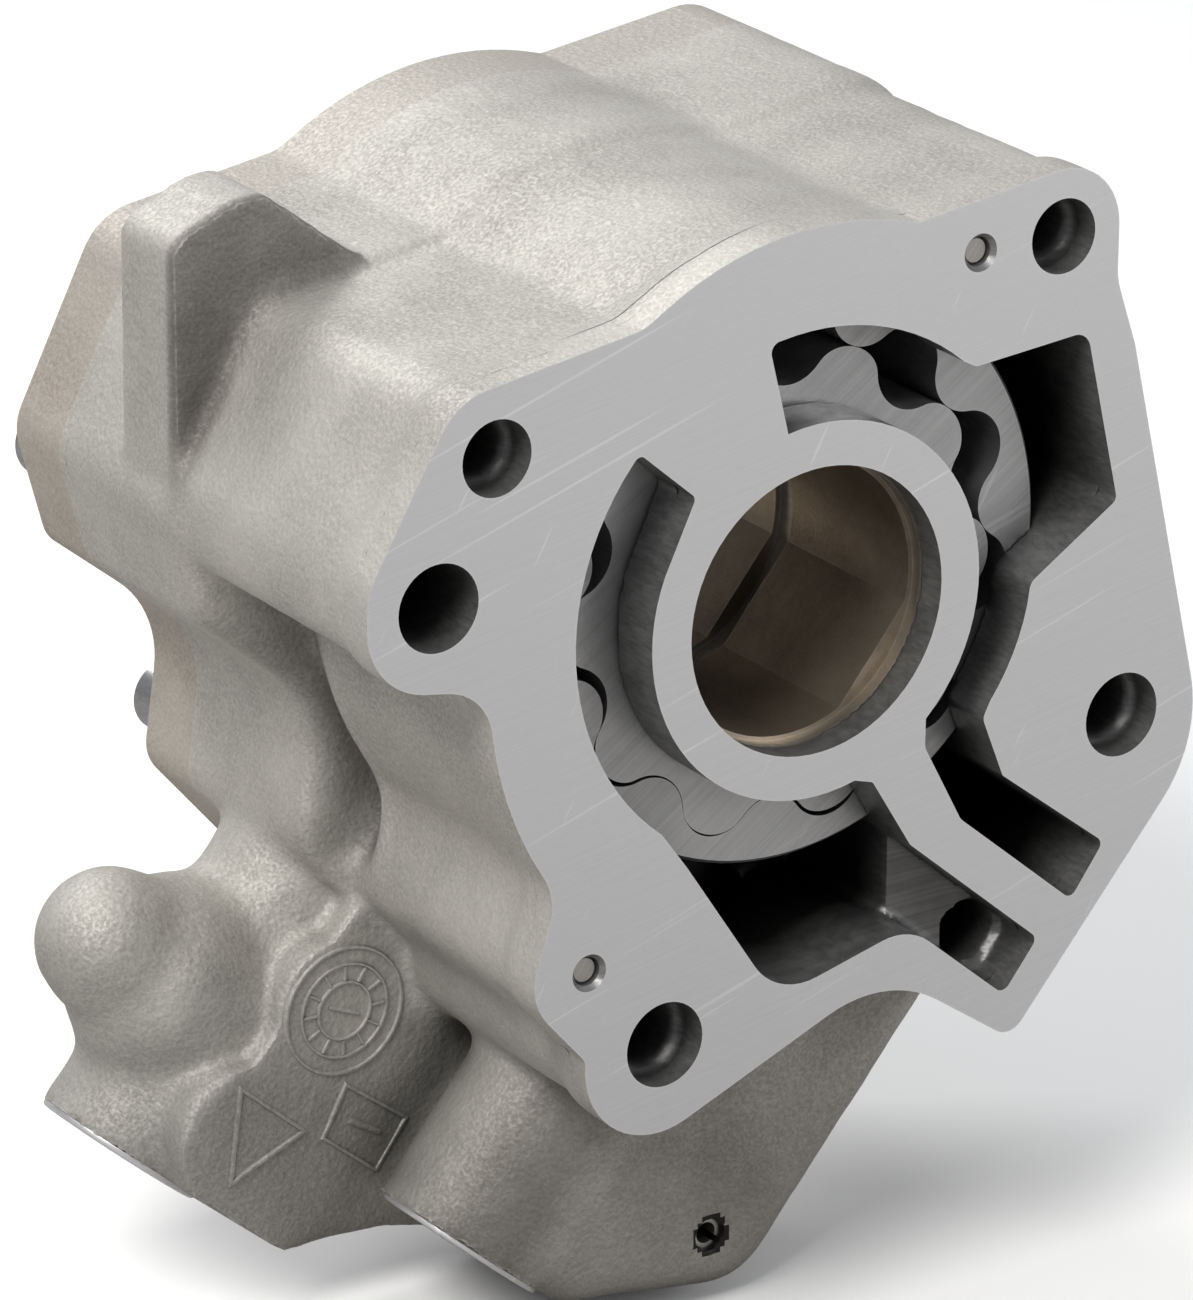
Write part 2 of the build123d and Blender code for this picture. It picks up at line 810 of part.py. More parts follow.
with BuildPart() as rear_outer_rotor:
    with BuildSketch(at_depth(rear_start + end_play)):
        with Locations(rotor_centre):
            Circle(rear_rotor_radius)
    extrude(amount=-(rear_width - 2 * end_play))
    chamfer(edges().filter_by(GeomType.CIRCLE), rotor_bevel)
    with BuildSketch(at_depth(0)):
        with BuildLine():
            toothed_outline()
        make_face()
    extrude(amount=-body_depth, mode=Mode.SUBTRACT)
rear_outer_rotor.part.label = "rear_outer_rotor"
export_step(rear_outer_rotor.part, "parts/rear_outer_rotor.step")

# Plates between the rotor sets, each with a key in the keyway of the chamber
with BuildPart() as front_plate:
    with BuildSketch(at_depth(feed_end)):
        with Locations(rotor_centre):
            Circle(middle_rotor_radius + rotor_clearance - plate_clearance)
        key_outline(0)
        Circle(plate_bore_radius, mode=Mode.SUBTRACT)
    extrude(amount=-front_plate_thickness)
front_plate.part.label = "front_plate"
export_step(front_plate.part, "parts/front_plate.step")

with BuildPart() as middle_port_plate:
    with BuildSketch(at_depth(middle_end)):
        with Locations(rotor_centre):
            Circle(rear_rotor_radius + rotor_clearance - plate_clearance)
        key_outline(0)
        Circle(plate_bore_radius, mode=Mode.SUBTRACT)
    extrude(amount=-port_plate_thickness)
    with BuildSketch(at_depth(middle_end)):
        kidneys()
        kidney_channels()
    extrude(amount=-kidney_depth, mode=Mode.SUBTRACT)
middle_port_plate.part.label = "middle_port_plate"
export_step(middle_port_plate.part, "parts/middle_port_plate.step")

with BuildPart() as rear_port_plate:
    with BuildSketch(at_depth(rear_plate_start)):
        with Locations(rotor_centre):
            Circle(rear_rotor_radius + rotor_clearance - plate_clearance)
        key_outline(0)
        Circle(plate_bore_radius, mode=Mode.SUBTRACT)
    extrude(amount=-port_plate_thickness)
    with BuildSketch(at_depth(rear_start)):
        kidneys()
        kidney_channels()
    extrude(amount=kidney_depth, mode=Mode.SUBTRACT)
rear_port_plate.part.label = "rear_port_plate"
export_step(rear_port_plate.part, "parts/rear_port_plate.step")

# Wave spring between the port plates
wave_height = (spring_gap - wave_thickness) / 2 - wave_clearance
wave_middle = spring_start + spring_gap / 2
with BuildPart() as wave_spring:
    for step in range(wave_steps - 1):
        turn = 360 * step / wave_steps
        x, z = polar(wave_radius, turn, rotor_centre)
        y = wave_middle + wave_height * cos(radians(wave_count * turn))
        outwards = polar(1, turn)
        around = polar(1, turn + 90)
        with BuildSketch(
            Plane(origin=(x, y, z), x_dir=(outwards[0], 0, outwards[1]), z_dir=(around[0], 0, around[1]))
        ):
            Rectangle(wave_width, wave_thickness)
    loft()
wave_spring.part.label = "wave_spring"
export_step(wave_spring.part, "parts/wave_spring.step")

# Relief valve: a cup piston on a coil spring of square wire that rests on the pinned plug
with BuildPart() as relief_piston:
    with BuildSketch(down_the_arm(relief_across, relief_seat - seat_gap, relief_depth)):
        Circle(relief_bore_radius - piston_clearance)
    extrude(amount=piston_length)
    chamfer(edges().filter_by(GeomType.CIRCLE), piston_bevel)
    with BuildSketch(down_the_arm(relief_across, relief_seat - seat_gap - piston_crown, relief_depth)):
        Circle(relief_bore_radius - piston_clearance - piston_wall)
    extrude(amount=piston_length, mode=Mode.SUBTRACT)
relief_piston.part.label = "relief_piston"
export_step(relief_piston.part, "parts/relief_piston.step")

with BuildPart() as relief_plug:
    with BuildSketch(down_the_arm(relief_across, plug_face + plug_length, relief_depth)):
        Circle(relief_bore_radius - piston_clearance)
    extrude(amount=plug_length)
    chamfer(edges().filter_by(GeomType.CIRCLE), piston_bevel)
    with BuildSketch(down_the_arm(relief_across, plug_face + plug_length - plug_seal_start, relief_depth)):
        Circle(relief_bore_radius)
        Circle(relief_bore_radius - plug_seal_depth, mode=Mode.SUBTRACT)
    extrude(amount=plug_seal_width, mode=Mode.SUBTRACT)
    with BuildSketch(arm_plane(arm_front)):
        with Locations((relief_across, pin_along)):
            Circle(pin_radius + pin_clearance)
    extrude(amount=-(arm_back - arm_front), mode=Mode.SUBTRACT)
relief_plug.part.label = "relief_plug"
export_step(relief_plug.part, "parts/relief_plug.step")

with BuildPart() as plug_seal:
    with BuildSketch(
        down_the_arm(
            relief_across,
            plug_face + plug_length - plug_seal_start - seal_side_gap,
            relief_depth,
        )
    ):
        Circle(relief_bore_radius - seat_gap)
        Circle(relief_bore_radius - plug_seal_depth + seat_gap, mode=Mode.SUBTRACT)
    extrude(amount=plug_seal_width - 2 * seal_side_gap)
plug_seal.part.label = "plug_seal"
export_step(plug_seal.part, "parts/plug_seal.step")

spring_foot = plug_face + plug_length
spring_top = relief_seat - seat_gap - piston_crown
spring_length = spring_top - spring_foot - spring_wire - 2 * seat_gap
spring_plane = down_the_arm(relief_across, spring_top - seat_gap - spring_wire / 2, relief_depth)
with BuildPart() as relief_spring:
    with BuildLine():
        Helix(spring_length / spring_turns, spring_length, spring_radius)
    with BuildSketch(Plane(origin=(spring_radius, 0, 0), x_dir=(1, 0, 0), z_dir=(0, 1, 0))):
        RegularPolygon(spring_wire / 2, 4)
    sweep(is_frenet=True)
placed_spring = spring_plane.location * relief_spring.part
placed_spring.label = "relief_spring"
export_step(placed_spring, "parts/relief_spring.step")

with BuildPart() as relief_pin:
    with BuildSketch(arm_plane(arm_front + pin_recess)):
        with Locations((relief_across, pin_along)):
            Circle(pin_radius)
            Circle(pin_radius - pin_wall, mode=Mode.SUBTRACT)
        with Locations((relief_across + pin_radius, pin_along)):
            Rectangle(2 * pin_radius, pin_slot, mode=Mode.SUBTRACT)
    extrude(amount=-pin_length)
relief_pin.part.label = "relief_pin"
export_step(relief_pin.part, "parts/relief_pin.step")

# Dowels, screws and sealing rings
with BuildPart() as face_dowels:
    with BuildSketch(at_depth(dowel_recess)):
        with Locations(*dowel_centres):
            Circle(dowel_radius)
    extrude(amount=-dowel_length)
    chamfer(edges().filter_by(GeomType.CIRCLE), dowel_bevel)
face_dowels.part.label = "face_dowels"
export_step(face_dowels.part, "parts/face_dowels.step")

with BuildPart() as ring_dowels:
    with BuildSketch(at_depth(body_depth - ring_dowel_length / 2 + ring_dowel_gap)):
        with Locations(*ring_dowel_centres):
            Circle(ring_dowel_radius)
            Circle(ring_dowel_radius - ring_dowel_wall, mode=Mode.SUBTRACT)
    extrude(amount=-(ring_dowel_length - 2 * ring_dowel_gap))
ring_dowels.part.label = "ring_dowels"
export_step(ring_dowels.part, "parts/ring_dowels.step")

with BuildPart() as cover_screws:
    with BuildSketch(at_depth(body_depth + cover_thickness - head_seat_depth)):
        with Locations(*screw_centres):
            Circle(screw_head_radius)
    extrude(amount=-screw_head_height)
    chamfer(edges().filter_by(GeomType.CIRCLE).group_by(Axis.Y)[-1], head_bevel)
    with BuildSketch(at_depth(body_depth + cover_thickness - head_seat_depth + screw_head_height)):
        with Locations(*screw_centres):
            RegularPolygon(screw_key / 2, 6, major_radius=False)
    extrude(amount=screw_key_depth, mode=Mode.SUBTRACT)
    with BuildSketch(at_depth(body_depth + cover_thickness - head_seat_depth)):
        with Locations(*screw_centres):
            Circle(screw_radius)
    extrude(amount=screw_length - head_seat_depth)
cover_screws.part.label = "cover_screws"
export_step(cover_screws.part, "parts/cover_screws.step")

with BuildPart() as inlet_seals:
    for across, end, depth in inlet_mouths:
        with BuildSketch(down_the_arm(across, end + inlet_seal_groove, depth)):
            Circle(inlet_seal_centre + inlet_seal_width / 2 - seal_side_gap)
            Circle(inlet_seal_centre - inlet_seal_width / 2 + seal_side_gap, mode=Mode.SUBTRACT)
        extrude(amount=inlet_seal_height)
inlet_seals.part.label = "inlet_seals"
export_step(inlet_seals.part, "parts/inlet_seals.step")

with BuildPart() as outlet_seal:
    with BuildSketch(at_depth(body_depth + cover_thickness + outlet_boss_height - inlet_seal_groove)):
        with Locations(outlet_centre):
            Circle(outlet_seal_centre + inlet_seal_width / 2 - seal_side_gap)
            Circle(outlet_seal_centre - inlet_seal_width / 2 + seal_side_gap, mode=Mode.SUBTRACT)
    extrude(amount=-inlet_seal_height)
outlet_seal.part.label = "outlet_seal"
export_step(outlet_seal.part, "parts/outlet_seal.step")
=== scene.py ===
# %% [markdown]
# # An engine oil pump in Blender
# This lesson dresses a gerotor oil pump for a photograph-like picture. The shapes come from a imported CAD
# model, already in metres and in place. What is left for Blender is the look: the grainy skin of a
# sand-cast alloy housing, its freshly machined face, the ground steel of the rotors and the light.
# The camera looks at the ported face, where the drive bore and the two ports are.

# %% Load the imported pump
import math

import bmesh
import bpy
import numpy as np
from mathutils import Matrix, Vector, noise


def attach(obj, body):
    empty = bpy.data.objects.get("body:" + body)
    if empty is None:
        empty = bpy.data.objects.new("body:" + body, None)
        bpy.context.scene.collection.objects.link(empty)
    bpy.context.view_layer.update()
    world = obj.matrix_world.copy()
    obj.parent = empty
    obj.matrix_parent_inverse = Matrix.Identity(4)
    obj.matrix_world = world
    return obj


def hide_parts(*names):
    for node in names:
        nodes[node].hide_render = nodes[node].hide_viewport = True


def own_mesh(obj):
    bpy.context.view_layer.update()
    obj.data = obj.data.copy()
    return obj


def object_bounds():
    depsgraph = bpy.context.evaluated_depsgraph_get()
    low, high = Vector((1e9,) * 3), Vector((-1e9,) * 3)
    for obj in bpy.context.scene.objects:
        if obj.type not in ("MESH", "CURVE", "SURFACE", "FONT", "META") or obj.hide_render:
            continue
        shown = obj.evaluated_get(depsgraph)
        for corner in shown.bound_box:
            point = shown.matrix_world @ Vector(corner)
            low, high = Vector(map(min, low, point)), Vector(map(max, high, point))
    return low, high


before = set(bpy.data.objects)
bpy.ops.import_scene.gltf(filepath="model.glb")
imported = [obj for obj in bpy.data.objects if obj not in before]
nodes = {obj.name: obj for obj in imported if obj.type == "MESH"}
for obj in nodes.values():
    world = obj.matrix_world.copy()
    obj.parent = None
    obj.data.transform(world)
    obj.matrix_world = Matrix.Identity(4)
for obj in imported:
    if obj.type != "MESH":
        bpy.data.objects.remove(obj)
cad_low, cad_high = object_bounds()
MM = 0.001
print("pump pieces:", len(nodes))
print("CAD box in mm:", [round(v / MM, 1) for v in cad_high - cad_low])

# %% [markdown]
# ## Camera
# The photograph was taken from the pump's left and a little above, with a long lens. The place and the
# lens below come from fitting known holes of the ported face to the photograph, 1193 by 1300 pixels.
# A long lens keeps parallel edges nearly parallel, which is what makes the picture look like a
# catalogue photograph and not like a close-up.

# %% Camera at the photograph's place
camera_place = Vector((-0.42424, -0.59390, 0.28533))
look_along = Vector((0.516, 0.773, -0.369)).normalized()
focal_pixels, frame_pixels, sensor_mm = 7500, 1300, 36
camera_data = bpy.data.cameras.new("photo_camera")
camera_data.sensor_width = sensor_mm
camera_data.lens = focal_pixels / frame_pixels * sensor_mm
camera_data.clip_start = 0.01
camera = bpy.data.objects.new("photo_camera", camera_data)
bpy.context.scene.collection.objects.link(camera)
camera.location = camera_place
camera.rotation_euler = look_along.to_track_quat("-Z", "Y").to_euler()
bpy.context.scene.camera = camera
print("camera distance from the origin in mm:", round(camera_place.length / MM))

# %% [markdown]
# ## Studio
# Bare metal shows its surroundings, so the studio matters more here than with paint. A big soft lamp
# above and to the left gives the bright shoulders of the casting. A weaker one from the right keeps the
# machined face even. The floor is pale, and only what the camera sees of it is lifted to white: light
# that the floor throws back at the metal stays modest, so the underside keeps its shade.


# %% Studio helpers
def soft_lamp(name, place, target, size, watts, colour=(1, 1, 1)):
    data = bpy.data.lights.new(name, "AREA")
    data.shape = "DISK"
    data.size = size
    data.energy = watts
    data.color = colour
    lamp = bpy.data.objects.new(name, data)
    bpy.context.scene.collection.objects.link(lamp)
    lamp.location = place
    lamp.rotation_euler = (Vector(target) - Vector(place)).to_track_quat("-Z", "Y").to_euler()


def new_material(name):
    made = bpy.data.materials.new(name)
    made.use_nodes = True
    made.node_tree.nodes.clear()
    return made, made.node_tree


def add_node(tree, kind, **settings):
    made = tree.nodes.new(kind)
    for key, value in settings.items():
        setattr(made, key, value)
    return made


def set_inputs(node, **values):
    for key, value in values.items():
        node.inputs[key.replace("_", " ")].default_value = value
    return node


def show_camera_another(tree, thrown, seen, out):
    """Let the camera see one shader, while the light meets the other."""
    paths = add_node(tree, "ShaderNodeLightPath")
    choose = add_node(tree, "ShaderNodeMixShader")
    tree.links.new(paths.outputs["Is Camera Ray"], choose.inputs[0])
    tree.links.new(thrown.outputs[0], choose.inputs[1])
    tree.links.new(seen.outputs[0], choose.inputs[2])
    tree.links.new(choose.outputs[0], out.inputs["Surface"])


# %% Lamps, world and floor
middle = (cad_low + cad_high) / 2
soft_lamp("key_lamp", (-0.75, -0.35, 0.85), middle, 0.55, 12.0, (1.0, 0.985, 0.96))
soft_lamp("fill_lamp", (0.70, -0.75, 0.30), middle, 0.60, 4.0)
soft_lamp("back_lamp", (-0.10, 0.80, 0.80), middle, 0.50, 6.0)

world = bpy.data.worlds.new("studio_world")
bpy.context.scene.world = world
world.use_nodes = True
tree = world.node_tree
tree.nodes.clear()
room = set_inputs(add_node(tree, "ShaderNodeBackground"), Color=(0.80, 0.82, 0.85, 1), Strength=0.42)
white = set_inputs(add_node(tree, "ShaderNodeBackground"), Color=(1, 1, 1, 1), Strength=1.0)
show_camera_another(tree, room, white, add_node(tree, "ShaderNodeOutputWorld"))

floor_material, tree = new_material("pale_floor")
seen = set_inputs(add_node(tree, "ShaderNodeBsdfDiffuse"), Color=(0.95, 0.95, 0.95, 1))
thrown = set_inputs(add_node(tree, "ShaderNodeBsdfDiffuse"), Color=(0.42, 0.41, 0.40, 1))
show_camera_another(tree, thrown, seen, add_node(tree, "ShaderNodeOutputMaterial"))

floor_reach = 6.0
floor_height = cad_low.z - 0.5 * MM
floor_corners = [(-floor_reach, -floor_reach), (floor_reach, -floor_reach)]
floor_corners += [(floor_reach, floor_reach), (-floor_reach, floor_reach)]
floor_mesh = bpy.data.meshes.new("studio_floor")
floor_mesh.from_pydata([(x, y, floor_height) for x, y in floor_corners], [], [(0, 1, 2, 3)])
floor = bpy.data.objects.new("studio_floor", floor_mesh)
bpy.context.scene.collection.objects.link(floor)
floor.data.materials.append(floor_material)
print("floor at", round(floor_height / MM, 1), "mm")

bpy.context.scene.view_settings.view_transform = "Standard"

# %% [markdown]
# ## Shared surface effects
# Four effects come back in several metals: the grain of a casting, the fine lines of grinding, the wear
# of edges, and painted shade in hollows. Each is a node group with named sockets, so that every metal can
# use it with its own sizes. The groups only give masks and heights. The Principled shader stays in each
# material, where its plain numbers can be read.


# %% Helpers for node groups
def new_group(name, inputs, outputs):
    group = bpy.data.node_groups.new(name, "ShaderNodeTree")
    for socket, kind, default in inputs:
        made = group.interface.new_socket(socket, in_out="INPUT", socket_type=kind)
        if default is not None:
            made.default_value = default
    for socket, kind in outputs:
        group.interface.new_socket(socket, in_out="OUTPUT", socket_type=kind)
    return group, add_node(group, "NodeGroupInput"), add_node(group, "NodeGroupOutput")


def feed(tree, socket, value):
    """Give a socket its plain number, or link it to another node's output."""
    if isinstance(value, (int, float)):
        socket.default_value = value
    else:
        tree.links.new(value, socket)


def math_node(tree, operation, first, second, clamp=False):
    made = add_node(tree, "ShaderNodeMath", operation=operation, use_clamp=clamp)
    feed(tree, made.inputs[0], first)
    feed(tree, made.inputs[1], second)
    return made.outputs[0]


def map_range(tree, value, low, high, to_low=0.0, to_high=1.0):
    made = add_node(tree, "ShaderNodeMapRange", clamp=True)
    tree.links.new(value, made.inputs["Value"])
    for socket, number in (("From Min", low), ("From Max", high), ("To Min", to_low), ("To Max", to_high)):
        feed(tree, made.inputs[socket], number)
    return made.outputs["Result"]


def noise_node(tree, vector, scale, detail=2.0, roughness=0.5):
    made = add_node(tree, "ShaderNodeTexNoise")
    tree.links.new(vector, made.inputs["Vector"])
    set_inputs(made, Scale=scale, Detail=detail, Roughness=roughness)
    return made.outputs["Fac"]


def counted_in(group, inside, size_socket):
    """The coordinates counted in grains or lines, whose size in millimetres comes in by a socket."""
    per_metre = math_node(group, "DIVIDE", 1000.0, inside.outputs[size_socket])
    scaled = add_node(group, "ShaderNodeVectorMath", operation="SCALE")
    group.links.new(inside.outputs["Vector"], scaled.inputs[0])
    group.links.new(per_metre, scaled.inputs["Scale"])
    return scaled.outputs[0]


# %% [markdown]
# Cast skin copies the sand of its mould. Three sizes of noise make it: fine grains, soft lumps a few grains
# wide, and blotches of tone of a centimetre or two. A cell pattern adds the small round beads between them.

# %% Casting grain
grain_group, inside, outside = new_group(
    "casting_grain",
    [("Vector", "NodeSocketVector", None), ("Grain Size", "NodeSocketFloat", 0.4)],
    [("Speckle", "NodeSocketFloat"), ("Blotches", "NodeSocketFloat"), ("Height", "NodeSocketFloat")],
)
grains = counted_in(grain_group, inside, "Grain Size")
fine = noise_node(grain_group, grains, 1.0, detail=2.0, roughness=0.65)
coarse = noise_node(grain_group, grains, 0.30, detail=2.0, roughness=0.5)
blotches = noise_node(grain_group, grains, 0.022, detail=4.0, roughness=0.6)
pits = add_node(grain_group, "ShaderNodeTexVoronoi", feature="SMOOTH_F1")
grain_group.links.new(grains, pits.inputs["Vector"])
set_inputs(pits, Scale=0.55, Smoothness=0.4)
beads = math_node(grain_group, "MULTIPLY", pits.outputs["Distance"], 0.7)
height = math_node(grain_group, "ADD", math_node(grain_group, "MULTIPLY", fine, 0.8), beads)
height = math_node(grain_group, "ADD", height, math_node(grain_group, "MULTIPLY", coarse, 0.9))
grain_group.links.new(map_range(grain_group, fine, 0.36, 0.66), outside.inputs["Speckle"])
grain_group.links.new(map_range(grain_group, blotches, 0.34, 0.66), outside.inputs["Blotches"])
grain_group.links.new(height, outside.inputs["Height"])
print("group:", grain_group.name)

# %% [markdown]
# A milled or ground face has fine parallel lines. Noise that is stretched many times along one direction
# looks just like them. Two more stretched noises, cut off near their top, leave only single scratches.

# %% Grinding lines
lines_group, inside, outside = new_group(
    "grinding_lines",
    [
        ("Vector", "NodeSocketVector", None),
        ("Angle", "NodeSocketFloat", 0.0),
        ("Spacing", "NodeSocketFloat", 0.2),
    ],
    [("Lines", "NodeSocketFloat"), ("Scratches", "NodeSocketFloat"), ("Height", "NodeSocketFloat")],
)


def turned_coordinates(tree, vector, angle, stretch):
    turned = add_node(tree, "ShaderNodeVectorRotate", rotation_type="Y_AXIS")
    tree.links.new(vector, turned.inputs["Vector"])
    feed(tree, turned.inputs["Angle"], angle)
    squeezed = add_node(tree, "ShaderNodeVectorMath", operation="MULTIPLY")
    tree.links.new(turned.outputs[0], squeezed.inputs[0])
    squeezed.inputs[1].default_value = stretch
    return squeezed.outputs[0]


counted = counted_in(lines_group, inside, "Spacing")
along = turned_coordinates(lines_group, counted, inside.outputs["Angle"], (0.012, 0.2, 1.0))
brushed = noise_node(lines_group, along, 1.0, detail=3.0, roughness=0.6)
wide = noise_node(lines_group, along, 0.22, detail=2.0, roughness=0.5)
long_scratch = turned_coordinates(lines_group, counted, 0.30, (0.004, 0.1, 0.28))
short_scratch = turned_coordinates(lines_group, counted, 1.05, (0.02, 0.1, 0.30))
first = map_range(lines_group, noise_node(lines_group, long_scratch, 1.0, 1.0), 0.695, 0.73)
second = map_range(lines_group, noise_node(lines_group, short_scratch, 1.0, 1.0), 0.735, 0.77)
scratches = math_node(lines_group, "MAXIMUM", first, second)
lines = math_node(lines_group, "MULTIPLY", brushed, 0.7)
lines = math_node(lines_group, "ADD", lines, math_node(lines_group, "MULTIPLY", wide, 0.3))
height = math_node(lines_group, "SUBTRACT", lines, math_node(lines_group, "MULTIPLY", scratches, 0.35))
lines_group.links.new(map_range(lines_group, lines, 0.35, 0.65), outside.inputs["Lines"])
lines_group.links.new(scratches, outside.inputs["Scratches"])
lines_group.links.new(height, outside.inputs["Height"])
print("group:", lines_group.name)

# %% [markdown]
# Handling polishes the edges first. The bevel node gives the normal that a rounded edge would have. Where it
# turns away from the real normal there is an edge, and noise breaks that line into worn and unworn bits.

# %% Worn edges
edge_group, inside, outside = new_group(
    "worn_edges",
    [("Vector", "NodeSocketVector", None), ("Breakup", "NodeSocketFloat", 0.5)],
    [("Mask", "NodeSocketFloat")],
)
rounded = add_node(edge_group, "ShaderNodeBevel", samples=4)
rounded.inputs["Radius"].default_value = 0.35 * MM
surface = add_node(edge_group, "ShaderNodeNewGeometry")
agree = add_node(edge_group, "ShaderNodeVectorMath", operation="DOT_PRODUCT")
edge_group.links.new(rounded.outputs[0], agree.inputs[0])
edge_group.links.new(surface.outputs["Normal"], agree.inputs[1])
turned_away = map_range(edge_group, agree.outputs["Value"], 0.995, 0.90)
patches = noise_node(edge_group, inside.outputs["Vector"], 900.0, detail=3.0)
patch_start = math_node(edge_group, "MULTIPLY", inside.outputs["Breakup"], 0.6)
patches = map_range(edge_group, patches, patch_start, 0.62)
mask = math_node(edge_group, "MULTIPLY", turned_away, patches, clamp=True)
edge_group.links.new(mask, outside.inputs["Mask"])
print("group:", edge_group.name)

# %% [markdown]
# Hollows get painted shade. Ambient occlusion measures how much sky each point sees, so its opposite is a
# mask of the hollows, and noise makes the border of the painted shade uneven.

# %% Painted shade in hollows
hollow_shade_group, inside, outside = new_group(
    "painted_hollow_shade",
    [("Vector", "NodeSocketVector", None), ("Amount", "NodeSocketFloat", 1.0)],
    [("Mask", "NodeSocketFloat")],
)
open_sky = add_node(hollow_shade_group, "ShaderNodeAmbientOcclusion", samples=8, only_local=False)
open_sky.inputs["Distance"].default_value = 9 * MM
streaks = noise_node(hollow_shade_group, inside.outputs["Vector"], 260.0, detail=4.0, roughness=0.6)
hollow = math_node(hollow_shade_group, "SUBTRACT", 1.0, open_sky.outputs["AO"])
unevenness = math_node(hollow_shade_group, "MULTIPLY", math_node(hollow_shade_group, "SUBTRACT", streaks, 0.5), 0.3)
hollow = math_node(hollow_shade_group, "ADD", hollow, unevenness)
hollow = map_range(hollow_shade_group, hollow, 0.25, 0.85)
# Painted shade: this mask darkens the hollows, where ambient occlusion finds little sky.
mask = math_node(hollow_shade_group, "MULTIPLY", hollow, inside.outputs["Amount"], clamp=True)
hollow_shade_group.links.new(mask, outside.inputs["Mask"])
print("group:", hollow_shade_group.name)

# %% [markdown]
# ## Metals
# A helper lays the same three layers in every metal: its own pattern first, then worn edges in a lighter
# tone, then painted shade in the hollows in a darker one. What makes the metals differ is the pattern, the
# two tones, and how sharp their reflections are. Cast alloy is dull and warm, the machined face is smooth and
# cool.


# %% Material helpers
def use_group(tree, group, vector, **values):
    made = add_node(tree, "ShaderNodeGroup", node_tree=group)
    tree.links.new(vector, made.inputs["Vector"])
    return set_inputs(made, **values)


def mix_colours(tree, mask, first, second, amount=1.0):
    """The first colour where the mask is 0, and towards the second, by the amount, where it is 1."""
    made = add_node(tree, "ShaderNodeMix", data_type="RGBA")
    if amount != 1.0:
        mask = math_node(tree, "MULTIPLY", mask, amount)
    tree.links.new(mask, made.inputs["Factor"])
    for socket, value in ((made.inputs[6], first), (made.inputs[7], second)):
        if isinstance(value, tuple):
            socket.default_value = (*value, 1)
        else:
            tree.links.new(value, socket)
    return made.outputs[2]


def toned(colour, share):
    return tuple(min(1.0, c * share) for c in colour)


def split_axes(tree, vector):
    made = add_node(tree, "ShaderNodeSeparateXYZ")
    tree.links.new(vector, made.inputs[0])
    return made.outputs["X"], made.outputs["Y"], made.outputs["Z"]


def bump_of(tree, height, strength, distance, normal=None):
    made = add_node(tree, "ShaderNodeBump")
    set_inputs(made, Strength=strength, Distance=distance)
    tree.links.new(height, made.inputs["Height"])
    if normal is not None:
        tree.links.new(normal, made.inputs["Normal"])
    return made.outputs[0]


def finish_metal(tree, colour, roughness, normal, metallic):
    shader = set_inputs(add_node(tree, "ShaderNodeBsdfPrincipled"), Metallic=metallic)
    out = add_node(tree, "ShaderNodeOutputMaterial")
    tree.links.new(colour, shader.inputs["Base Color"])
    tree.links.new(roughness, shader.inputs["Roughness"])
    tree.links.new(normal, shader.inputs["Normal"])
    tree.links.new(shader.outputs[0], out.inputs["Surface"])


def object_vector(tree):
    return add_node(tree, "ShaderNodeTexCoord").outputs["Object"]


# %% [markdown]
# The cast skin takes more than the three layers. The cover is browner low down and grey at its top. Both get
# painted shade that grows darker towards the bottom. The housing also has painted shade in its recesses and
# on its arm, and a flash line, which are read from values stored on its mesh. A mesh without those values
# reads zero there, and shows neither.


# %% Cast skin
def shade_on_skin(tree, grain, height_above, colour, dark):
    """Darken the lower skin towards the bottom as painted shade, and the places stored as painted shade
    nearly to black.
    """
    unevenness = math_node(tree, "MULTIPLY", grain.outputs["Blotches"], 14 * MM)
    lower_shade = map_range(tree, math_node(tree, "ADD", height_above, unevenness), -20 * MM, -60 * MM)
    # Painted shade: the skin is darkened towards the bottom.
    colour = mix_colours(tree, lower_shade, colour, toned(dark, 0.45), amount=0.42)
    dark_tint = add_node(tree, "ShaderNodeAttribute", attribute_name="painted_shade")
    patchy = map_range(tree, grain.outputs["Blotches"], 0.0, 1.0, 1.0, 0.72)
    darkened = math_node(tree, "MULTIPLY", dark_tint.outputs["Fac"], patchy)
    # Painted shade: the places stored on the mesh go nearly black.
    return mix_colours(tree, darkened, colour, (0.075, 0.064, 0.052))


def flash_on_skin(tree, grain, depth, colour, light):
    """A hairline 5 mm behind the milled face, and the scraped band in front of it."""
    stretch = add_node(tree, "ShaderNodeAttribute", attribute_name="flash_stretch").outputs["Fac"]
    wander = math_node(tree, "MULTIPLY", grain.outputs["Blotches"], 0.5 * MM)
    from_line = math_node(tree, "SUBTRACT", math_node(tree, "ADD", depth, wander), 5.0 * MM)
    from_line = math_node(tree, "ABSOLUTE", from_line, 0.0)
    hairline = map_range(tree, from_line, 0.16 * MM, 0.07 * MM)
    scraped = map_range(tree, depth, 4.6 * MM, 3.4 * MM)
    scraped = math_node(tree, "MULTIPLY", scraped, math_node(tree, "MULTIPLY", stretch, 0.55))
    colour = mix_colours(tree, scraped, colour, toned(light, 1.25))
    flash = math_node(tree, "MULTIPLY", hairline, stretch)
    return mix_colours(tree, flash, colour, (0.05, 0.045, 0.04), amount=0.8)


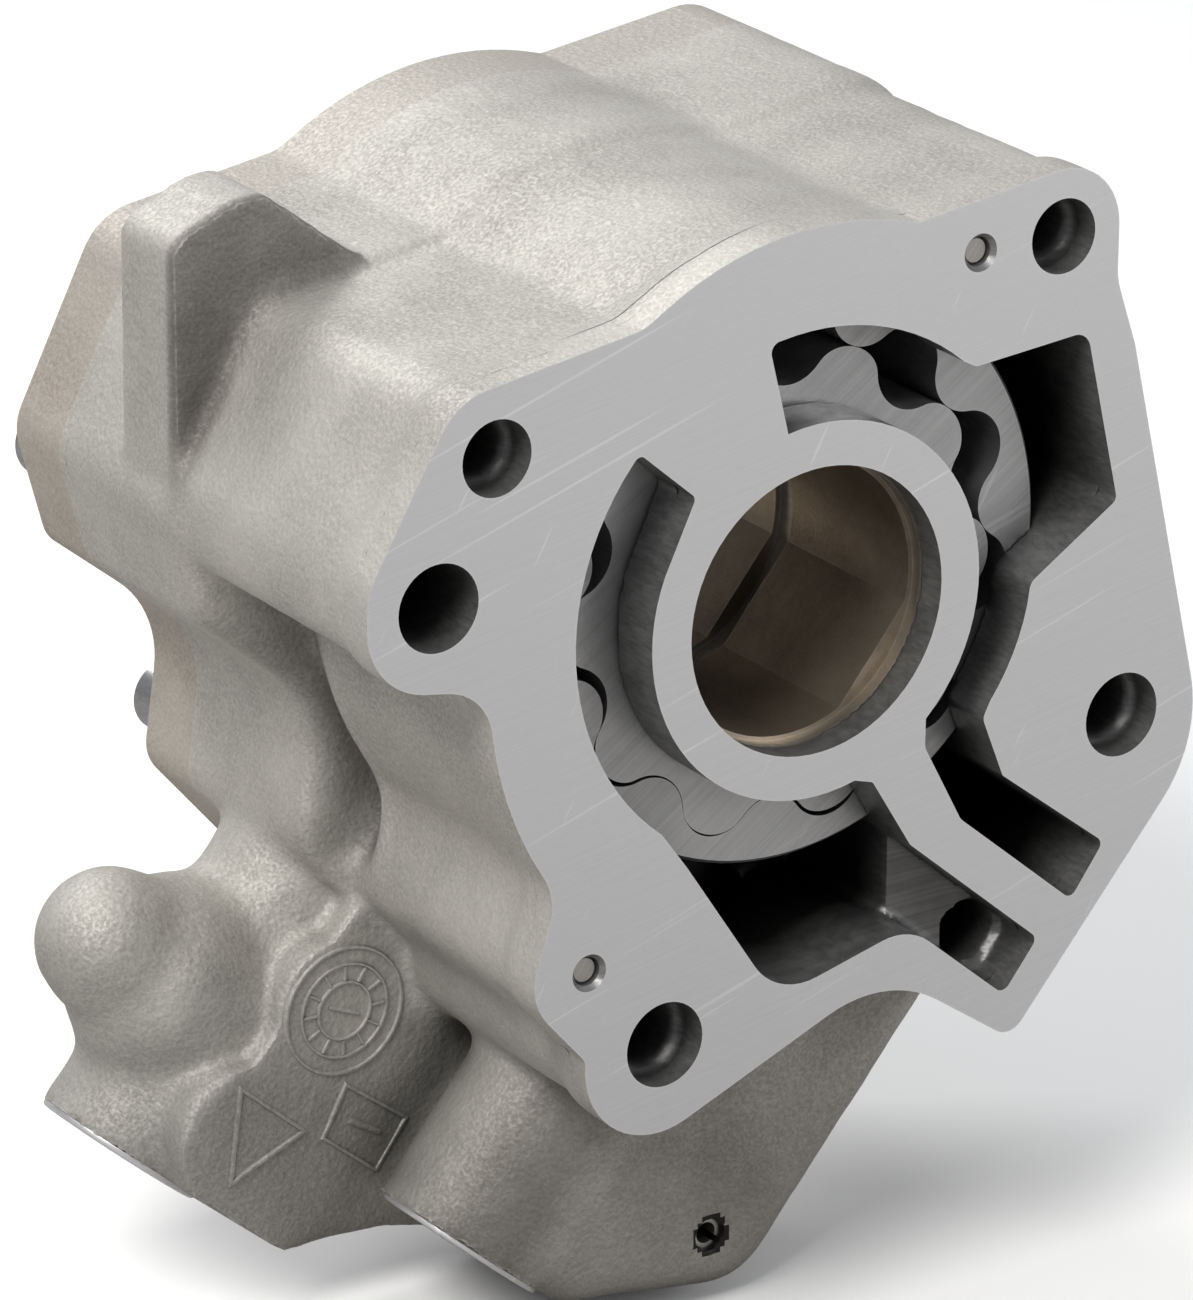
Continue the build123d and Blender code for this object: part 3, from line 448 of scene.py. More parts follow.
def make_cast_metal(name, dark, light, worn, roughness, grey_top=0.0):
    made, tree = new_material(name)
    vector = object_vector(tree)
    _, depth, height_above = split_axes(tree, vector)
    grain = use_group(tree, grain_group, vector, Grain_Size=0.42)
    wear = use_group(tree, edge_group, vector, Breakup=0.55)
    hollow_shade = use_group(tree, hollow_shade_group, vector, Amount=0.75)
    colour = mix_colours(tree, grain.outputs["Blotches"], dark, light)
    upper = map_range(tree, height_above, 16 * MM, 36 * MM)
    colour = mix_colours(tree, upper, colour, (0.43, 0.415, 0.385), amount=grey_top)
    colour = mix_colours(tree, grain.outputs["Speckle"], colour, toned(light, 1.35), amount=0.45)
    colour = shade_on_skin(tree, grain, height_above, colour, dark)
    colour = flash_on_skin(tree, grain, depth, colour, light)
    colour = mix_colours(tree, wear.outputs["Mask"], colour, worn, amount=0.6)
    # Painted shade in the hollows, towards a near black.
    colour = mix_colours(tree, hollow_shade.outputs["Mask"], colour, toned(dark, 0.22))
    rough = map_range(tree, grain.outputs["Speckle"], 0.0, 1.0, roughness + 0.08, roughness - 0.08)
    normal = bump_of(tree, grain.outputs["Height"], 0.75, 0.13 * MM)
    finish_metal(tree, colour, rough, normal, metallic=0.6)
    return made


cast_skin = make_cast_metal(
    "cast_skin",
    dark=(0.36, 0.345, 0.32),
    light=(0.50, 0.485, 0.45),
    worn=(0.66, 0.65, 0.62),
    roughness=0.68,
)
cover_skin = make_cast_metal(
    "cover_skin",
    dark=(0.36, 0.322, 0.28),
    light=(0.48, 0.44, 0.39),
    worn=(0.63, 0.59, 0.53),
    roughness=0.66,
    grey_top=0.9,
)
print("cast metals:", cast_skin.name, cover_skin.name)

# %% [markdown]
# Rotors, plates, pins and the milled face are all cut or ground metal. They differ in tone, in the angle and
# spacing of their lines, and in how sharply they mirror. The milled face gets no painted shade in its
# hollows.


# %% Ground and turned metal
def make_ground_metal(name, dark, light, angle, spacing, roughness, hollow_amount=0.6):
    made, tree = new_material(name)
    vector = object_vector(tree)
    lines = use_group(tree, lines_group, vector, Angle=angle, Spacing=spacing)
    wear = use_group(tree, edge_group, vector, Breakup=0.35)
    hollow_shade = use_group(tree, hollow_shade_group, vector, Amount=hollow_amount)
    colour = mix_colours(tree, lines.outputs["Lines"], dark, light)
    bright = toned(light, 1.25)
    colour = mix_colours(tree, lines.outputs["Scratches"], colour, bright, amount=0.5)
    colour = mix_colours(tree, wear.outputs["Mask"], colour, bright, amount=0.5)
    # Painted shade in the hollows, towards a near black.
    colour = mix_colours(tree, hollow_shade.outputs["Mask"], colour, toned(dark, 0.12))
    rough = map_range(tree, lines.outputs["Lines"], 0.0, 1.0, roughness + 0.05, roughness - 0.05)
    normal = bump_of(tree, lines.outputs["Height"], 0.25, 0.03 * MM)
    finish_metal(tree, colour, rough, normal, metallic=0.85)
    return made


machined_face = make_ground_metal(
    "machined_face",
    dark=(0.66, 0.66, 0.675),
    light=(0.72, 0.72, 0.735),
    angle=0.16,
    spacing=0.22,
    roughness=0.42,
    hollow_amount=0.0,
)
rotor_steel = make_ground_metal("rotor_steel", (0.40, 0.40, 0.405), (0.50, 0.50, 0.505), 0.60, 0.30, 0.36)
plate_steel = make_ground_metal("plate_steel", (0.33, 0.325, 0.32), (0.42, 0.415, 0.41), 1.10, 0.30, 0.38)
valve_steel = make_ground_metal("valve_steel", (0.42, 0.42, 0.43), (0.52, 0.52, 0.53), 0.0, 0.20, 0.28)
plug_alloy = make_ground_metal("plug_alloy", (0.54, 0.54, 0.54), (0.66, 0.66, 0.66), 0.4, 0.25, 0.34)
pin_steel = make_ground_metal("pin_steel", (0.40, 0.385, 0.365), (0.52, 0.50, 0.475), 0.9, 0.20, 0.38)
spring_wire = make_ground_metal("spring_wire", (0.24, 0.24, 0.25), (0.34, 0.34, 0.36), 0.2, 0.15, 0.33)
screw_plating = make_ground_metal("screw_plating", (0.28, 0.28, 0.285), (0.38, 0.38, 0.385), 0.5, 0.20, 0.35)
print("ground metals:", machined_face.name, rotor_steel.name, plate_steel.name, valve_steel.name)

# %% [markdown]
# The walls inside the ports see little light, and their colour is painted dark as shade. Near the mouth they
# show a darkened cutter's grey, and a few millimetres further in the painted shade goes nearly black.

# %% Port walls with painted shade
shaded_port_wall, tree = new_material("shaded_port_wall")
vector = object_vector(tree)
lines = use_group(tree, lines_group, vector, Angle=0.0, Spacing=0.35)
grain = use_group(tree, grain_group, vector, Grain_Size=0.35)
unevenness = math_node(tree, "MULTIPLY", grain.outputs["Blotches"], 3 * MM)
depth = math_node(tree, "ADD", split_axes(tree, vector)[1], unevenness)
deep = map_range(tree, depth, 3 * MM, 13 * MM)
# Painted shade: even the mouth is a dark grey, and deeper in it goes nearly black.
mouth = mix_colours(tree, lines.outputs["Lines"], (0.20, 0.20, 0.20), (0.34, 0.34, 0.335))
colour = mix_colours(tree, deep, mouth, (0.022, 0.021, 0.020))
rough = map_range(tree, grain.outputs["Speckle"], 0.0, 1.0, 0.48, 0.38)
normal = bump_of(tree, lines.outputs["Height"], 0.25, 0.04 * MM)
finish_metal(tree, colour, rough, normal, metallic=0.8)
print("material:", shaded_port_wall.name)

# %% [markdown]
# The drive bore is a sintered steel part too, but oil and heat have turned it brown. The rotors share
# their shape and their steel, so the brown comes as a mask: everything nearer to the drive axis than the
# foot of the lobes is stained.

# %% Rotor steel with a bronze-brown bore
inner_rotor_steel, tree = new_material("inner_rotor_steel")
vector = object_vector(tree)
lines = use_group(tree, lines_group, vector, Angle=0.6, Spacing=0.30)
grain = use_group(tree, grain_group, vector, Grain_Size=0.35)
wear = use_group(tree, edge_group, vector, Breakup=0.3)
sideways, _, upwards = split_axes(tree, vector)
sideways = math_node(tree, "MULTIPLY", sideways, sideways)
upwards = math_node(tree, "MULTIPLY", upwards, upwards)
from_axis = math_node(tree, "SQRT", math_node(tree, "ADD", sideways, upwards), 0.0)
bore_mask = map_range(tree, from_axis, 16.4 * MM, 15.9 * MM)
steel = mix_colours(tree, lines.outputs["Lines"], (0.40, 0.40, 0.405), (0.50, 0.50, 0.505))
dark_tint = mix_colours(tree, grain.outputs["Blotches"], (0.22, 0.18, 0.14), (0.40, 0.34, 0.27))
dark_tint = mix_colours(tree, grain.outputs["Speckle"], dark_tint, (0.42, 0.36, 0.28), amount=0.3)
colour = mix_colours(tree, bore_mask, steel, dark_tint)
colour = mix_colours(tree, wear.outputs["Mask"], colour, (0.62, 0.60, 0.57), amount=0.5)
normal = bump_of(tree, lines.outputs["Height"], 0.25, 0.03 * MM)
normal = bump_of(tree, grain.outputs["Height"], 0.25, 0.05 * MM, normal)
rough = map_range(tree, grain.outputs["Speckle"], 0.0, 1.0, 0.42, 0.34)
finish_metal(tree, colour, rough, normal, metallic=0.85)
print("material:", inner_rotor_steel.name)

# %% [markdown]
# Sealing rings are black rubber. It isn't quite black: a dark grey with a matt, slightly uneven surface
# keeps its form readable in the deep mouths where the rings sit.

# %% Black rubber
seal_rubber, tree = new_material("seal_rubber")
vector = object_vector(tree)
grain = use_group(tree, grain_group, vector, Grain_Size=0.25)
colour = mix_colours(tree, grain.outputs["Blotches"], (0.016, 0.016, 0.017), (0.032, 0.031, 0.030))
rough = map_range(tree, grain.outputs["Speckle"], 0.0, 1.0, 0.62, 0.48)
normal = bump_of(tree, grain.outputs["Height"], 0.2, 0.04 * MM)
finish_metal(tree, colour, rough, normal, metallic=0.0)
print("material:", seal_rubber.name)

# %% [markdown]
# ## The housing
# The CAD housing has the right main shapes, but its corners are as sharp as a drawing. A sand casting has
# none of those: molten alloy leaves every inner corner filled and every outer corner blunt. Only where
# a cutter has been, on the ported face, in the bores and in the ports, are edges crisp. So the housing is
# made as its own piece. Its front slab, and a thin one at the cover's joint, are kept exactly as they are.
# Everything between them is turned into an even net of small faces and then relaxed, but only on the skin.
#
# The arm with the inlets and the relief valve leans by 49.5 degrees, so two directions, along it and across
# it, make its places plain numbers. Holes are a place in the face and a radius, in millimetres, and the bores
# of the arm are an axis, a radius and the place along the arm where each one starts.

# %% Directions and places on the housing
arm_angle = math.radians(49.5)
arm_along = np.array([math.cos(arm_angle), 0, math.sin(arm_angle)])
arm_across = np.array([math.sin(arm_angle), 0, -math.cos(arm_angle)])
rotor_centre = np.array([2.1 * math.cos(math.radians(70)), 2.1 * math.sin(math.radians(70))]) * MM
relief_axis = (47.5 * MM, 24.5 * MM)
suction_axis = (26.6 * MM, 24.5 * MM)
scavenge_axis = (0.0, 50.0 * MM)
pin_place = (47.5 * MM, -60.9 * MM)
face_holes = [
    (31.1, 35.5, 4.15),
    (-39.8, 25.15, 4.15),
    (-46.9, 10.5, 4.8),
    (40.5, -20.75, 4.8),
    (-19.15, -44.8, 4.8),
    (20.3, 35.7, 2.1),
    (-28.7, -34.2, 2.1),
]
joint_holes = [
    (31.1, 35.0, 4.0),
    (-40.0, 24.2, 2.5),
    (-48.6, 6.0, 2.5),
    (-34.6, -27.0, 2.5),
    (-19.15, -44.8, 4.0),
    (24.3, -48.0, 2.5),
    (41.5, -18.0, 2.5),
]
arm_bores = [
    (relief_axis, 7.2, -2),
    (suction_axis, 6.2, -25),
    (suction_axis, 9.0, -74.2),
    (scavenge_axis, 6.2, -26),
    (scavenge_axis, 9.0, -85.7),
]
feed_outline = [(-19.6, -20.7), (-16.4, -25.2), (-4.76, -43.1), (12.4, -38.95)]
feed_outline += [(25.3, -50.1), (29.8, -44.5), (12.45, -29.4), (0, -20)]
pockets = [
    feed_outline,
    [(18.4, 24.1), (20.0, 23.2), (34.6, 24.3), (39.1, 4.4), (27.8, -2.7), (0, 0)],
    [(14.2, -18.6), (21.8, -17.0), (24.6, -24.2), (38.5, -35.2), (34.2, -41.0), (19.1, -28.0)],
]
print("holes in the ported face:", len(face_holes), "pockets beside the ring:", len(pockets))

# %% [markdown]
# A cutter's work is told from cast skin by place alone. The rotor chamber is a cylinder, the holes are
# small cylinders, and the pockets are outlines in the plane of the face. Each test below gives one true or
# false for every point of the mesh at once, which numpy does in a few milliseconds.


# %% Which points a cutter has touched
def ramp(values, low, high):
    """From 0 at the low value to 1 at the high one, both in millimetres."""
    return np.clip((values - low * MM) / (high * MM - low * MM), 0, 1)


def band(values, low, full, fade, end):
    """1 between two ramps: up from low to full, and down from fade to end."""
    return ramp(values, low, full) * (1 - ramp(values, fade, end))


def within_outline(points, corners, margin):
    """True for points inside a flat outline, or nearer to it than the margin."""
    x, z = points[:, 0], points[:, 2]
    inside = np.zeros(len(points), dtype=bool)
    nearest = np.full(len(points), 1e9)
    corners = np.array(corners) * MM
    for start, end in zip(corners, np.roll(corners, -1, axis=0)):
        crosses = (start[1] > z) != (end[1] > z)
        rise = end[1] - start[1] if end[1] != start[1] else 1e-12
        inside ^= crosses & (x < (end[0] - start[0]) * (z - start[1]) / rise + start[0])
        edge = end - start
        share = np.clip(((x - start[0]) * edge[0] + (z - start[1]) * edge[1]) / (edge @ edge), 0, 1)
        gap_x, gap_z = x - start[0] - share * edge[0], z - start[1] - share * edge[1]
        nearest = np.minimum(nearest, np.hypot(gap_x, gap_z))
    return inside | (nearest < margin)


def from_arm_axis(points, axis):
    """Distance from an axis that runs along the arm, at its place across the arm and in depth."""
    return np.hypot(points @ arm_across - axis[0], points[:, 1] - axis[1])


chamber_radius, chamber_end = 38.3 * MM, 61.9 * MM
pocket_floor, face_hole_floor, joint_hole_start = 25 * MM, 43 * MM, 48 * MM
pin_reach, pin_end = 2.4 * MM, 36 * MM


def from_hole(points, x, z):
    return np.hypot(points[:, 0] - x * MM, points[:, 2] - z * MM)


def cut_by_tool(points):
    """True for points on the walls of the chamber, the pockets, the holes and the bores."""
    y = points[:, 1]
    along = points @ arm_along
    across = points @ arm_across
    behind_face = y > 0.02 * MM
    from_centre = np.hypot(points[:, 0] - rotor_centre[0], points[:, 2] - rotor_centre[1])
    cut = (from_centre < chamber_radius) & behind_face & (y < chamber_end)
    for corners in pockets:
        cut |= within_outline(points, corners, 1.0 * MM) & behind_face & (y < pocket_floor)
    for x, z, radius in face_holes:
        cut |= (from_hole(points, x, z) < (radius + 0.9) * MM) & behind_face & (y < face_hole_floor)
    for x, z, radius in joint_holes:
        cut |= (from_hole(points, x, z) < (radius + 0.8) * MM) & (y > joint_hole_start)
    for axis, radius, start in arm_bores:
        cut |= (from_arm_axis(points, axis) < radius * MM) & (along < start * MM)
    cut |= (np.hypot(across - pin_place[0], along - pin_place[1]) < pin_reach) & (y < pin_end)
    return cut


trial_points = np.array([(0, 5, -40), (0, 5, 45)]) * MM
print("cut in a pocket and on the top wall:", cut_by_tool(trial_points))

# %% [markdown]
# ### Relaxing the skin
# Laplacian relaxing moves each point towards the middle of its neighbours. Done a few dozen times on a
# fine even net, it rounds corners like a radius in the mould does. Blender's Smooth modifier does the same,
# but here the strength differs from point to point, so the loop is written out.


# %% Relaxing with a strength for each point
def read_points(mesh):
    points = np.empty(len(mesh.vertices) * 3)
    mesh.vertices.foreach_get("co", points)
    return points.reshape(-1, 3)


def read_edges(mesh):
    edges = np.empty(len(mesh.edges) * 2, dtype=np.int64)
    mesh.edges.foreach_get("vertices", edges)
    return edges.reshape(-1, 2)


def relax(points, edges, strength, rounds):
    first, second = edges[:, 0], edges[:, 1]
    count = len(points)
    neighbours = np.bincount(first, minlength=count) + np.bincount(second, minlength=count)
    neighbours = np.maximum(neighbours, 1)
    for _ in range(rounds):
        total = np.empty_like(points)
        for axis in range(3):
            total[:, axis] = np.bincount(first, points[second, axis], count)
            total[:, axis] += np.bincount(second, points[first, axis], count)
        points = points + strength[:, None] * (total / neighbours[:, None] - points)
    return points


def evaluated_mesh(obj):
    seen = obj.evaluated_get(bpy.context.evaluated_depsgraph_get())
    return bpy.data.meshes.new_from_object(seen)


def even_net(source, grain):
    """A copy of a solid's surface as an even net of small faces."""
    mesh = source.data.copy()
    work = bmesh.new()
    work.from_mesh(mesh)
    bmesh.ops.remove_doubles(work, verts=work.verts, dist=1e-6)
    work.to_mesh(mesh)
    work.free()
    helper = bpy.data.objects.new("net_helper", mesh)
    bpy.context.scene.collection.objects.link(helper)
    voxels = helper.modifiers.new("voxels", "REMESH")
    voxels.mode = "VOXEL"
    voxels.voxel_size = grain
    net = evaluated_mesh(helper)
    bpy.data.objects.remove(helper)
    bpy.data.meshes.remove(mesh)
    return net


net_grain = 0.6 * MM
body_net = even_net(nodes["pump_body"], net_grain)
print("net of the housing:", len(body_net.vertices), "points")

# %% [markdown]
# ### How soft each stretch is
# The inlet arm and the domed end at the lower left are the softest: there the photograph shows no edge at
# all. The ported block is firmer, and firmest are the gusset and the flat pads under the foundry marks. Skin
# next to a machined face stays where it is, so that the faces keep their outline. A domed passage end would
# lose its neck by so much relaxing, so the neck is filled up to a round shape between two rounds of it.

# %% Softness of the skin
dome_centre = np.array([-44.94, 50.0, -52.62]) * MM
rounds_scale = (0.6 * MM / net_grain) ** 2
full_strength = 0.9


def beside_dome(points):
    """How far along the domed end each point lies, and its way and distance out from that axis."""
    offset = points - dome_centre
    ahead = offset @ -arm_across
    outwards = offset + ahead[:, None] * arm_across
    return ahead, outwards, np.maximum(np.linalg.norm(outwards, axis=1), 1e-6)


def soften(points, share, rounds):
    return relax(points, edges, share * full_strength, int(rounds * rounds_scale))


points = read_points(body_net)
edges = read_edges(body_net)
y = points[:, 1]
along = points @ arm_along
across = points @ arm_across
skin = (~cut_by_tool(points)).astype(float)
skin *= band(y, 3.2, 5.5, 57.5, 60.3)
on_arm = (across > 15 * MM) & (y > 13 * MM) & (y < 35.5 * MM)
skin *= np.where(on_arm, ramp(along, -75.8, -74), 1)
skin *= ramp(along, -87.3, -85.5)
lower_left = ramp(-along, 30, 42) * (1 - ramp(across, 24, 34)) * ramp(y, 10, 20)

dome_along, outwards, dome_away = beside_dome(points)
collar = band(dome_along, 3, 8, 17, 20) * (1 - ramp(dome_away, 15, 18))
pads = (across < 24 * MM) & (along < -48 * MM) & (y > 34 * MM) & (y < 41 * MM) & (dome_along < 4 * MM)
gusset = (y > 26 * MM) & (y < 52 * MM) & (points[:, 0] < -22 * MM) & (points[:, 2] > 8 * MM)
firm = np.where(pads | gusset, 0.25, 1.0)
flank = band(across, 11, 14, 21, 25) * ramp(y, 22, 27) * ramp(-along, 34, 42)

points = soften(points, skin * firm, 8)
points = soften(points, skin * firm * lower_left, 5)
points = soften(points, skin * collar, 6)
dome_along, outwards, dome_away = beside_dome(points)
neck = skin * band(dome_along, 4, 7, 16, 19) * (dome_away < 10.6 * MM)
filled = 8.5 * MM + 1.9 * MM * (1 - ramp(dome_along, 7, 16))
lift = np.clip(filled - dome_away, 0, 2 * MM) * neck
points = points + outwards / dome_away[:, None] * lift[:, None]
points = soften(points, skin * collar, 12)
points = soften(points, skin * flank, 24)
print("relaxed points:", int((skin > 0.01).sum()), "of", len(points))

# %% [markdown]
# ### The scoop in the left wall
# Below the bolt bosses the left wall steps in, and along the foot of that step the pattern maker scooped out
# a long teardrop, to keep the wall thin. It starts shallow at the top, runs down the step, and ends in a
# deep round bottom with a small ridge in front of it. The scoop is a path in the plane of the wall. Each row
# gives a place in depth and in height, and how far the wall moves inward there, all in millimetres. Beside
# the path the push dies away with the distance.

# %% Scoop out the teardrop
scoop_path = np.array([
    (38.4, 0.0, 0.1),
    (37.8, -5.0, 0.8),
    (37.3, -12.0, 1.5),
    (36.9, -20.0, 2.2),
    (36.3, -26.5, 2.8),
    (35.9, -30.5, 2.0),
    (35.5, -34.0, 0.2),
])


def beside_path(points, path):
    """Distance to the path in the wall's plane, its depth there, and whether a point lies in front of it."""
    reach = np.full(len(points), 1e9)
    depth = np.zeros(len(points))
    front = np.zeros(len(points), dtype=bool)
    for start, end in zip(path[:-1], path[1:]):
        run = (end - start)[:2] * MM
        offset = points[:, 1:3] - start[:2] * MM
        share = np.clip((offset @ run) / (run @ run), 0, 1)
        gap = offset - share[:, None] * run
        distance = np.hypot(gap[:, 0], gap[:, 1])
        nearer = distance < reach
        depth = np.where(nearer, (start[2] + share * (end[2] - start[2])) * MM, depth)
        front = np.where(nearer, run[0] * gap[:, 1] - run[1] * gap[:, 0] < 0, front)
        reach = np.minimum(reach, distance)
    return reach, depth, front


def on_left_wall(points):
    return (points[:, 0] < -28 * MM) & (points[:, 2] > -36 * MM) & (points[:, 2] < 2 * MM)


wall = skin * on_left_wall(points)
reach, depth, front = beside_path(points, scoop_path)
spread = np.where(front, 1.5 * MM, 1.9 * MM)
ridge = np.where(front, 0.20 * np.exp(-(((reach - 3.0 * MM) / (1.0 * MM)) ** 2)), 0)
push = depth * (np.exp(-((reach / spread) ** 2)) - ridge)
points[:, 0] += push * wall
print("deepest of the scoop in mm:", round(float((push * wall).max() / MM), 2))

# %% [markdown]
# A mould leaves the skin slightly wavy. Two sizes of noise push each point along its normal by a few
# hundredths of a millimetre, and nowhere by more than about a tenth. It is too little to see as a shape, but
# it breaks up the reflections.

# %% Waves of the cast skin
body_net.vertices.foreach_set("co", points.ravel())
body_net.update()
normals = np.empty(len(points) * 3)
body_net.vertices.foreach_get("normal", normals)
normals = normals.reshape(-1, 3)
waves = np.array([noise.noise(Vector(p) * 170) + 0.5 * noise.noise(Vector(p) * 420) for p in points])
wave_mm = 0.09
points = points + normals * (waves * skin * wave_mm * MM)[:, None]
body_net.vertices.foreach_set("co", points.ravel())
body_net.update()
print("largest wave in mm:", round(float(np.abs(waves * skin).max() * wave_mm), 3))

# %% [markdown]
# ### Slab and skin together
# The front 3 mm and the last 1.4 mm before the joint come from the exact solid, with crisp ports, holes and
# dowel seats. The relaxed net lies between them. Faces then take one of three metals: cast skin, the milled
# face, or the walls that a tool left inside, which are painted dark as shade.

# %% Cut, thin and join the housing
milled_slot, wall_slot = 1, 2


def keep_side(mesh, depth, keep_front):
    work = bmesh.new()
    work.from_mesh(mesh)
    bmesh.ops.remove_doubles(work, verts=work.verts, dist=1e-6)
    everything = work.verts[:] + work.edges[:] + work.faces[:]
    bmesh.ops.bisect_plane(
        work,
        geom=everything,
        plane_co=(0, depth, 0),
        plane_no=(0, 1, 0),
        clear_outer=keep_front,
        clear_inner=not keep_front,
    )
    made = bpy.data.meshes.new("half")
    work.to_mesh(made)
    work.free()
    return made


def thinned(mesh, share):
    helper = bpy.data.objects.new("thin_helper", mesh)
    bpy.context.scene.collection.objects.link(helper)
    collapse = helper.modifiers.new("collapse", "DECIMATE")
    collapse.ratio = share
    made = evaluated_mesh(helper)
    bpy.data.objects.remove(helper)
    return made


def joined_piece(name, meshes, materials):
    work = bmesh.new()
    for mesh in meshes:
        work.from_mesh(mesh)
    made = bpy.data.meshes.new(name)
    work.to_mesh(made)
    work.free()
    if "custom_normal" in made.attributes:
        made.attributes.remove(made.attributes["custom_normal"])
    for material in materials:
        made.materials.append(material)
    piece = bpy.data.objects.new(name, made)
    bpy.context.scene.collection.objects.link(piece)
    return piece


def give_faces(piece):
    """Give each face its metal: the milled plane, the walls a tool cut, or the cast skin."""
    mesh = piece.data
    count = len(mesh.polygons)
    centres = np.empty(count * 3)
    facing = np.empty(count * 3)
    mesh.polygons.foreach_get("center", centres)
    mesh.polygons.foreach_get("normal", facing)
    centres, facing = centres.reshape(-1, 3), facing.reshape(-1, 3)
    slots = np.zeros(count, dtype=np.int32)
    slots[cut_by_tool(centres)] = wall_slot
    slots[(np.abs(centres[:, 1]) < 0.01 * MM) & (np.abs(facing[:, 1]) > 0.99)] = milled_slot
    mesh.polygons.foreach_set("material_index", slots)
    mesh.polygons.foreach_set("use_smooth", slots != milled_slot)
    mesh.set_sharp_from_angle(angle=math.radians(32))
    return slots


housing_metals = [cast_skin, machined_face, shaded_port_wall]
front_slab = keep_side(nodes["pump_body"].data, 3.1 * MM, True)
rear_slab = keep_side(nodes["pump_body"].data, 60.6 * MM, False)
skin_part = keep_side(keep_side(thinned(body_net, 0.45), 3.0 * MM, False), 60.7 * MM, True)
pump_casting = joined_piece("pump_casting", [front_slab, skin_part, rear_slab], housing_metals)
slots = give_faces(pump_casting)

# %% [markdown]
# ### Painted shade and the flash line
# Shade is painted dark where little light reaches: in the scoop, behind the gusset, on the flank of the
# relief arm and low on that arm. The mould's two halves also leave a hair-thin flash line on the upper left.
# Each is worked out once for every point and stored on the mesh under a name that the skin's material reads.

# %% Store the painted shade and the flash line on the mesh
spots = read_points(pump_casting.data)
y = spots[:, 1]
along = spots @ arm_along
across = spots @ arm_across
reach, depth, front = beside_path(spots, scoop_path)
fade = np.where(front, 1.5 * MM, 2.2 * MM)
in_scoop = on_left_wall(spots) * np.exp(-((reach / fade) ** 2)) * ramp(depth, 0, 1.6)
behind_gusset = band(y, 36.2, 38.2, 39.6, 40.6) * (spots[:, 0] < -31 * MM) * ramp(spots[:, 2], 10, 18)
arm_flank = band(across, 15, 19, 25, 32) * (1 - ramp(y, 32, 38)) * ramp(-along, 36, 48)
low_arm = ramp(across, 26, 32) * ramp(-along, 40, 52) * (1 - ramp(y, 18, 26))
# All four are painted shade: the scoop, behind the gusset, the arm's flank and low on the arm.
shade_marks = np.maximum.reduce([in_scoop * 0.8, behind_gusset * 0.76, arm_flank * 0.72, low_arm * 0.36])
flash = band(spots[:, 0], -30, -26, -8, -3) * (spots[:, 2] > 28 * MM)
for name, values in (("painted_shade", shade_marks), ("flash_stretch", flash)):
    stored = pump_casting.data.attributes.new(name, "FLOAT", "POINT")
    stored.data.foreach_set("value", values.astype(np.float32))
print("stained points:", int((shade_marks > 0.05).sum()), "of", len(spots))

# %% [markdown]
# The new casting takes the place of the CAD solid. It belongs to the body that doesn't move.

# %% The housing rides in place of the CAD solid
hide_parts("pump_body")
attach(pump_casting, "housing")
milled_count, wall_count = int((slots == milled_slot).sum()), int((slots == wall_slot).sum())
print("housing faces:", len(slots), "milled:", milled_count, "walls:", wall_count)

# %% [markdown]
# ### Lips round the inlet mouths
# Each inlet ends in a thin turned lip that keeps its sealing ring in place. It is a ring with a softly
# rounded outer edge, spun from a short profile round the inlet's own axis.


# %% Turned lips
def finished_piece(work, name, material, sharp_degrees=None):
    """Turn a net that has been built into a smooth-shaded piece of the scene."""
    bmesh.ops.recalc_face_normals(work, faces=work.faces)
    mesh = bpy.data.meshes.new(name)
    work.to_mesh(mesh)
    work.free()
    mesh.materials.append(material)
    for face in mesh.polygons:
        face.use_smooth = True
    if sharp_degrees is not None:
        mesh.set_sharp_from_angle(angle=math.radians(sharp_degrees))
    piece = bpy.data.objects.new(name, mesh)
    bpy.context.scene.collection.objects.link(piece)
    return piece


def skin_between(work, here, there):
    """Quads between two closed rows of points."""
    for k in range(len(here)):
        after = (k + 1) % len(here)
        work.faces.new((here[k], here[after], there[after], there[k]))


def spun_ring(name, centre, axis, profile, material, turns=72):
    """Spin a closed profile of (radius, height) pairs, in millimetres, round an axis."""
    axis = Vector(axis).normalized()
    first = axis.orthogonal().normalized()
    second = axis.cross(first)
    work = bmesh.new()
    rows = []
    for k in range(turns):
        turn = 2 * math.pi * k / turns
        outward = first * math.cos(turn) + second * math.sin(turn)
        rows.append([work.verts.new(centre + outward * (r * MM) + axis * (h * MM)) for r, h in profile])
    for here, there in zip(rows, rows[1:] + rows[:1]):
        skin_between(work, here, there)
    return finished_piece(work, name, material, sharp_degrees=35)


lip_profile = [(8.75, -0.1), (8.75, 0.55), (9.4, 0.55), (9.6, 0.46), (9.7, 0.3), (9.7, -0.1)]
for name, (place_across, depth), end in (
    ("suction_lip", suction_axis, -76.0),
    ("scavenge_lip", scavenge_axis, -87.5),
):
    centre = Vector(arm_across * place_across + arm_along * end * MM) + Vector((0, depth, 0))
    lip = spun_ring(name, centre, -arm_along, lip_profile, machined_face)
    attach(lip, "housing")
    print(name, "at", [round(v / MM, 1) for v in centre])
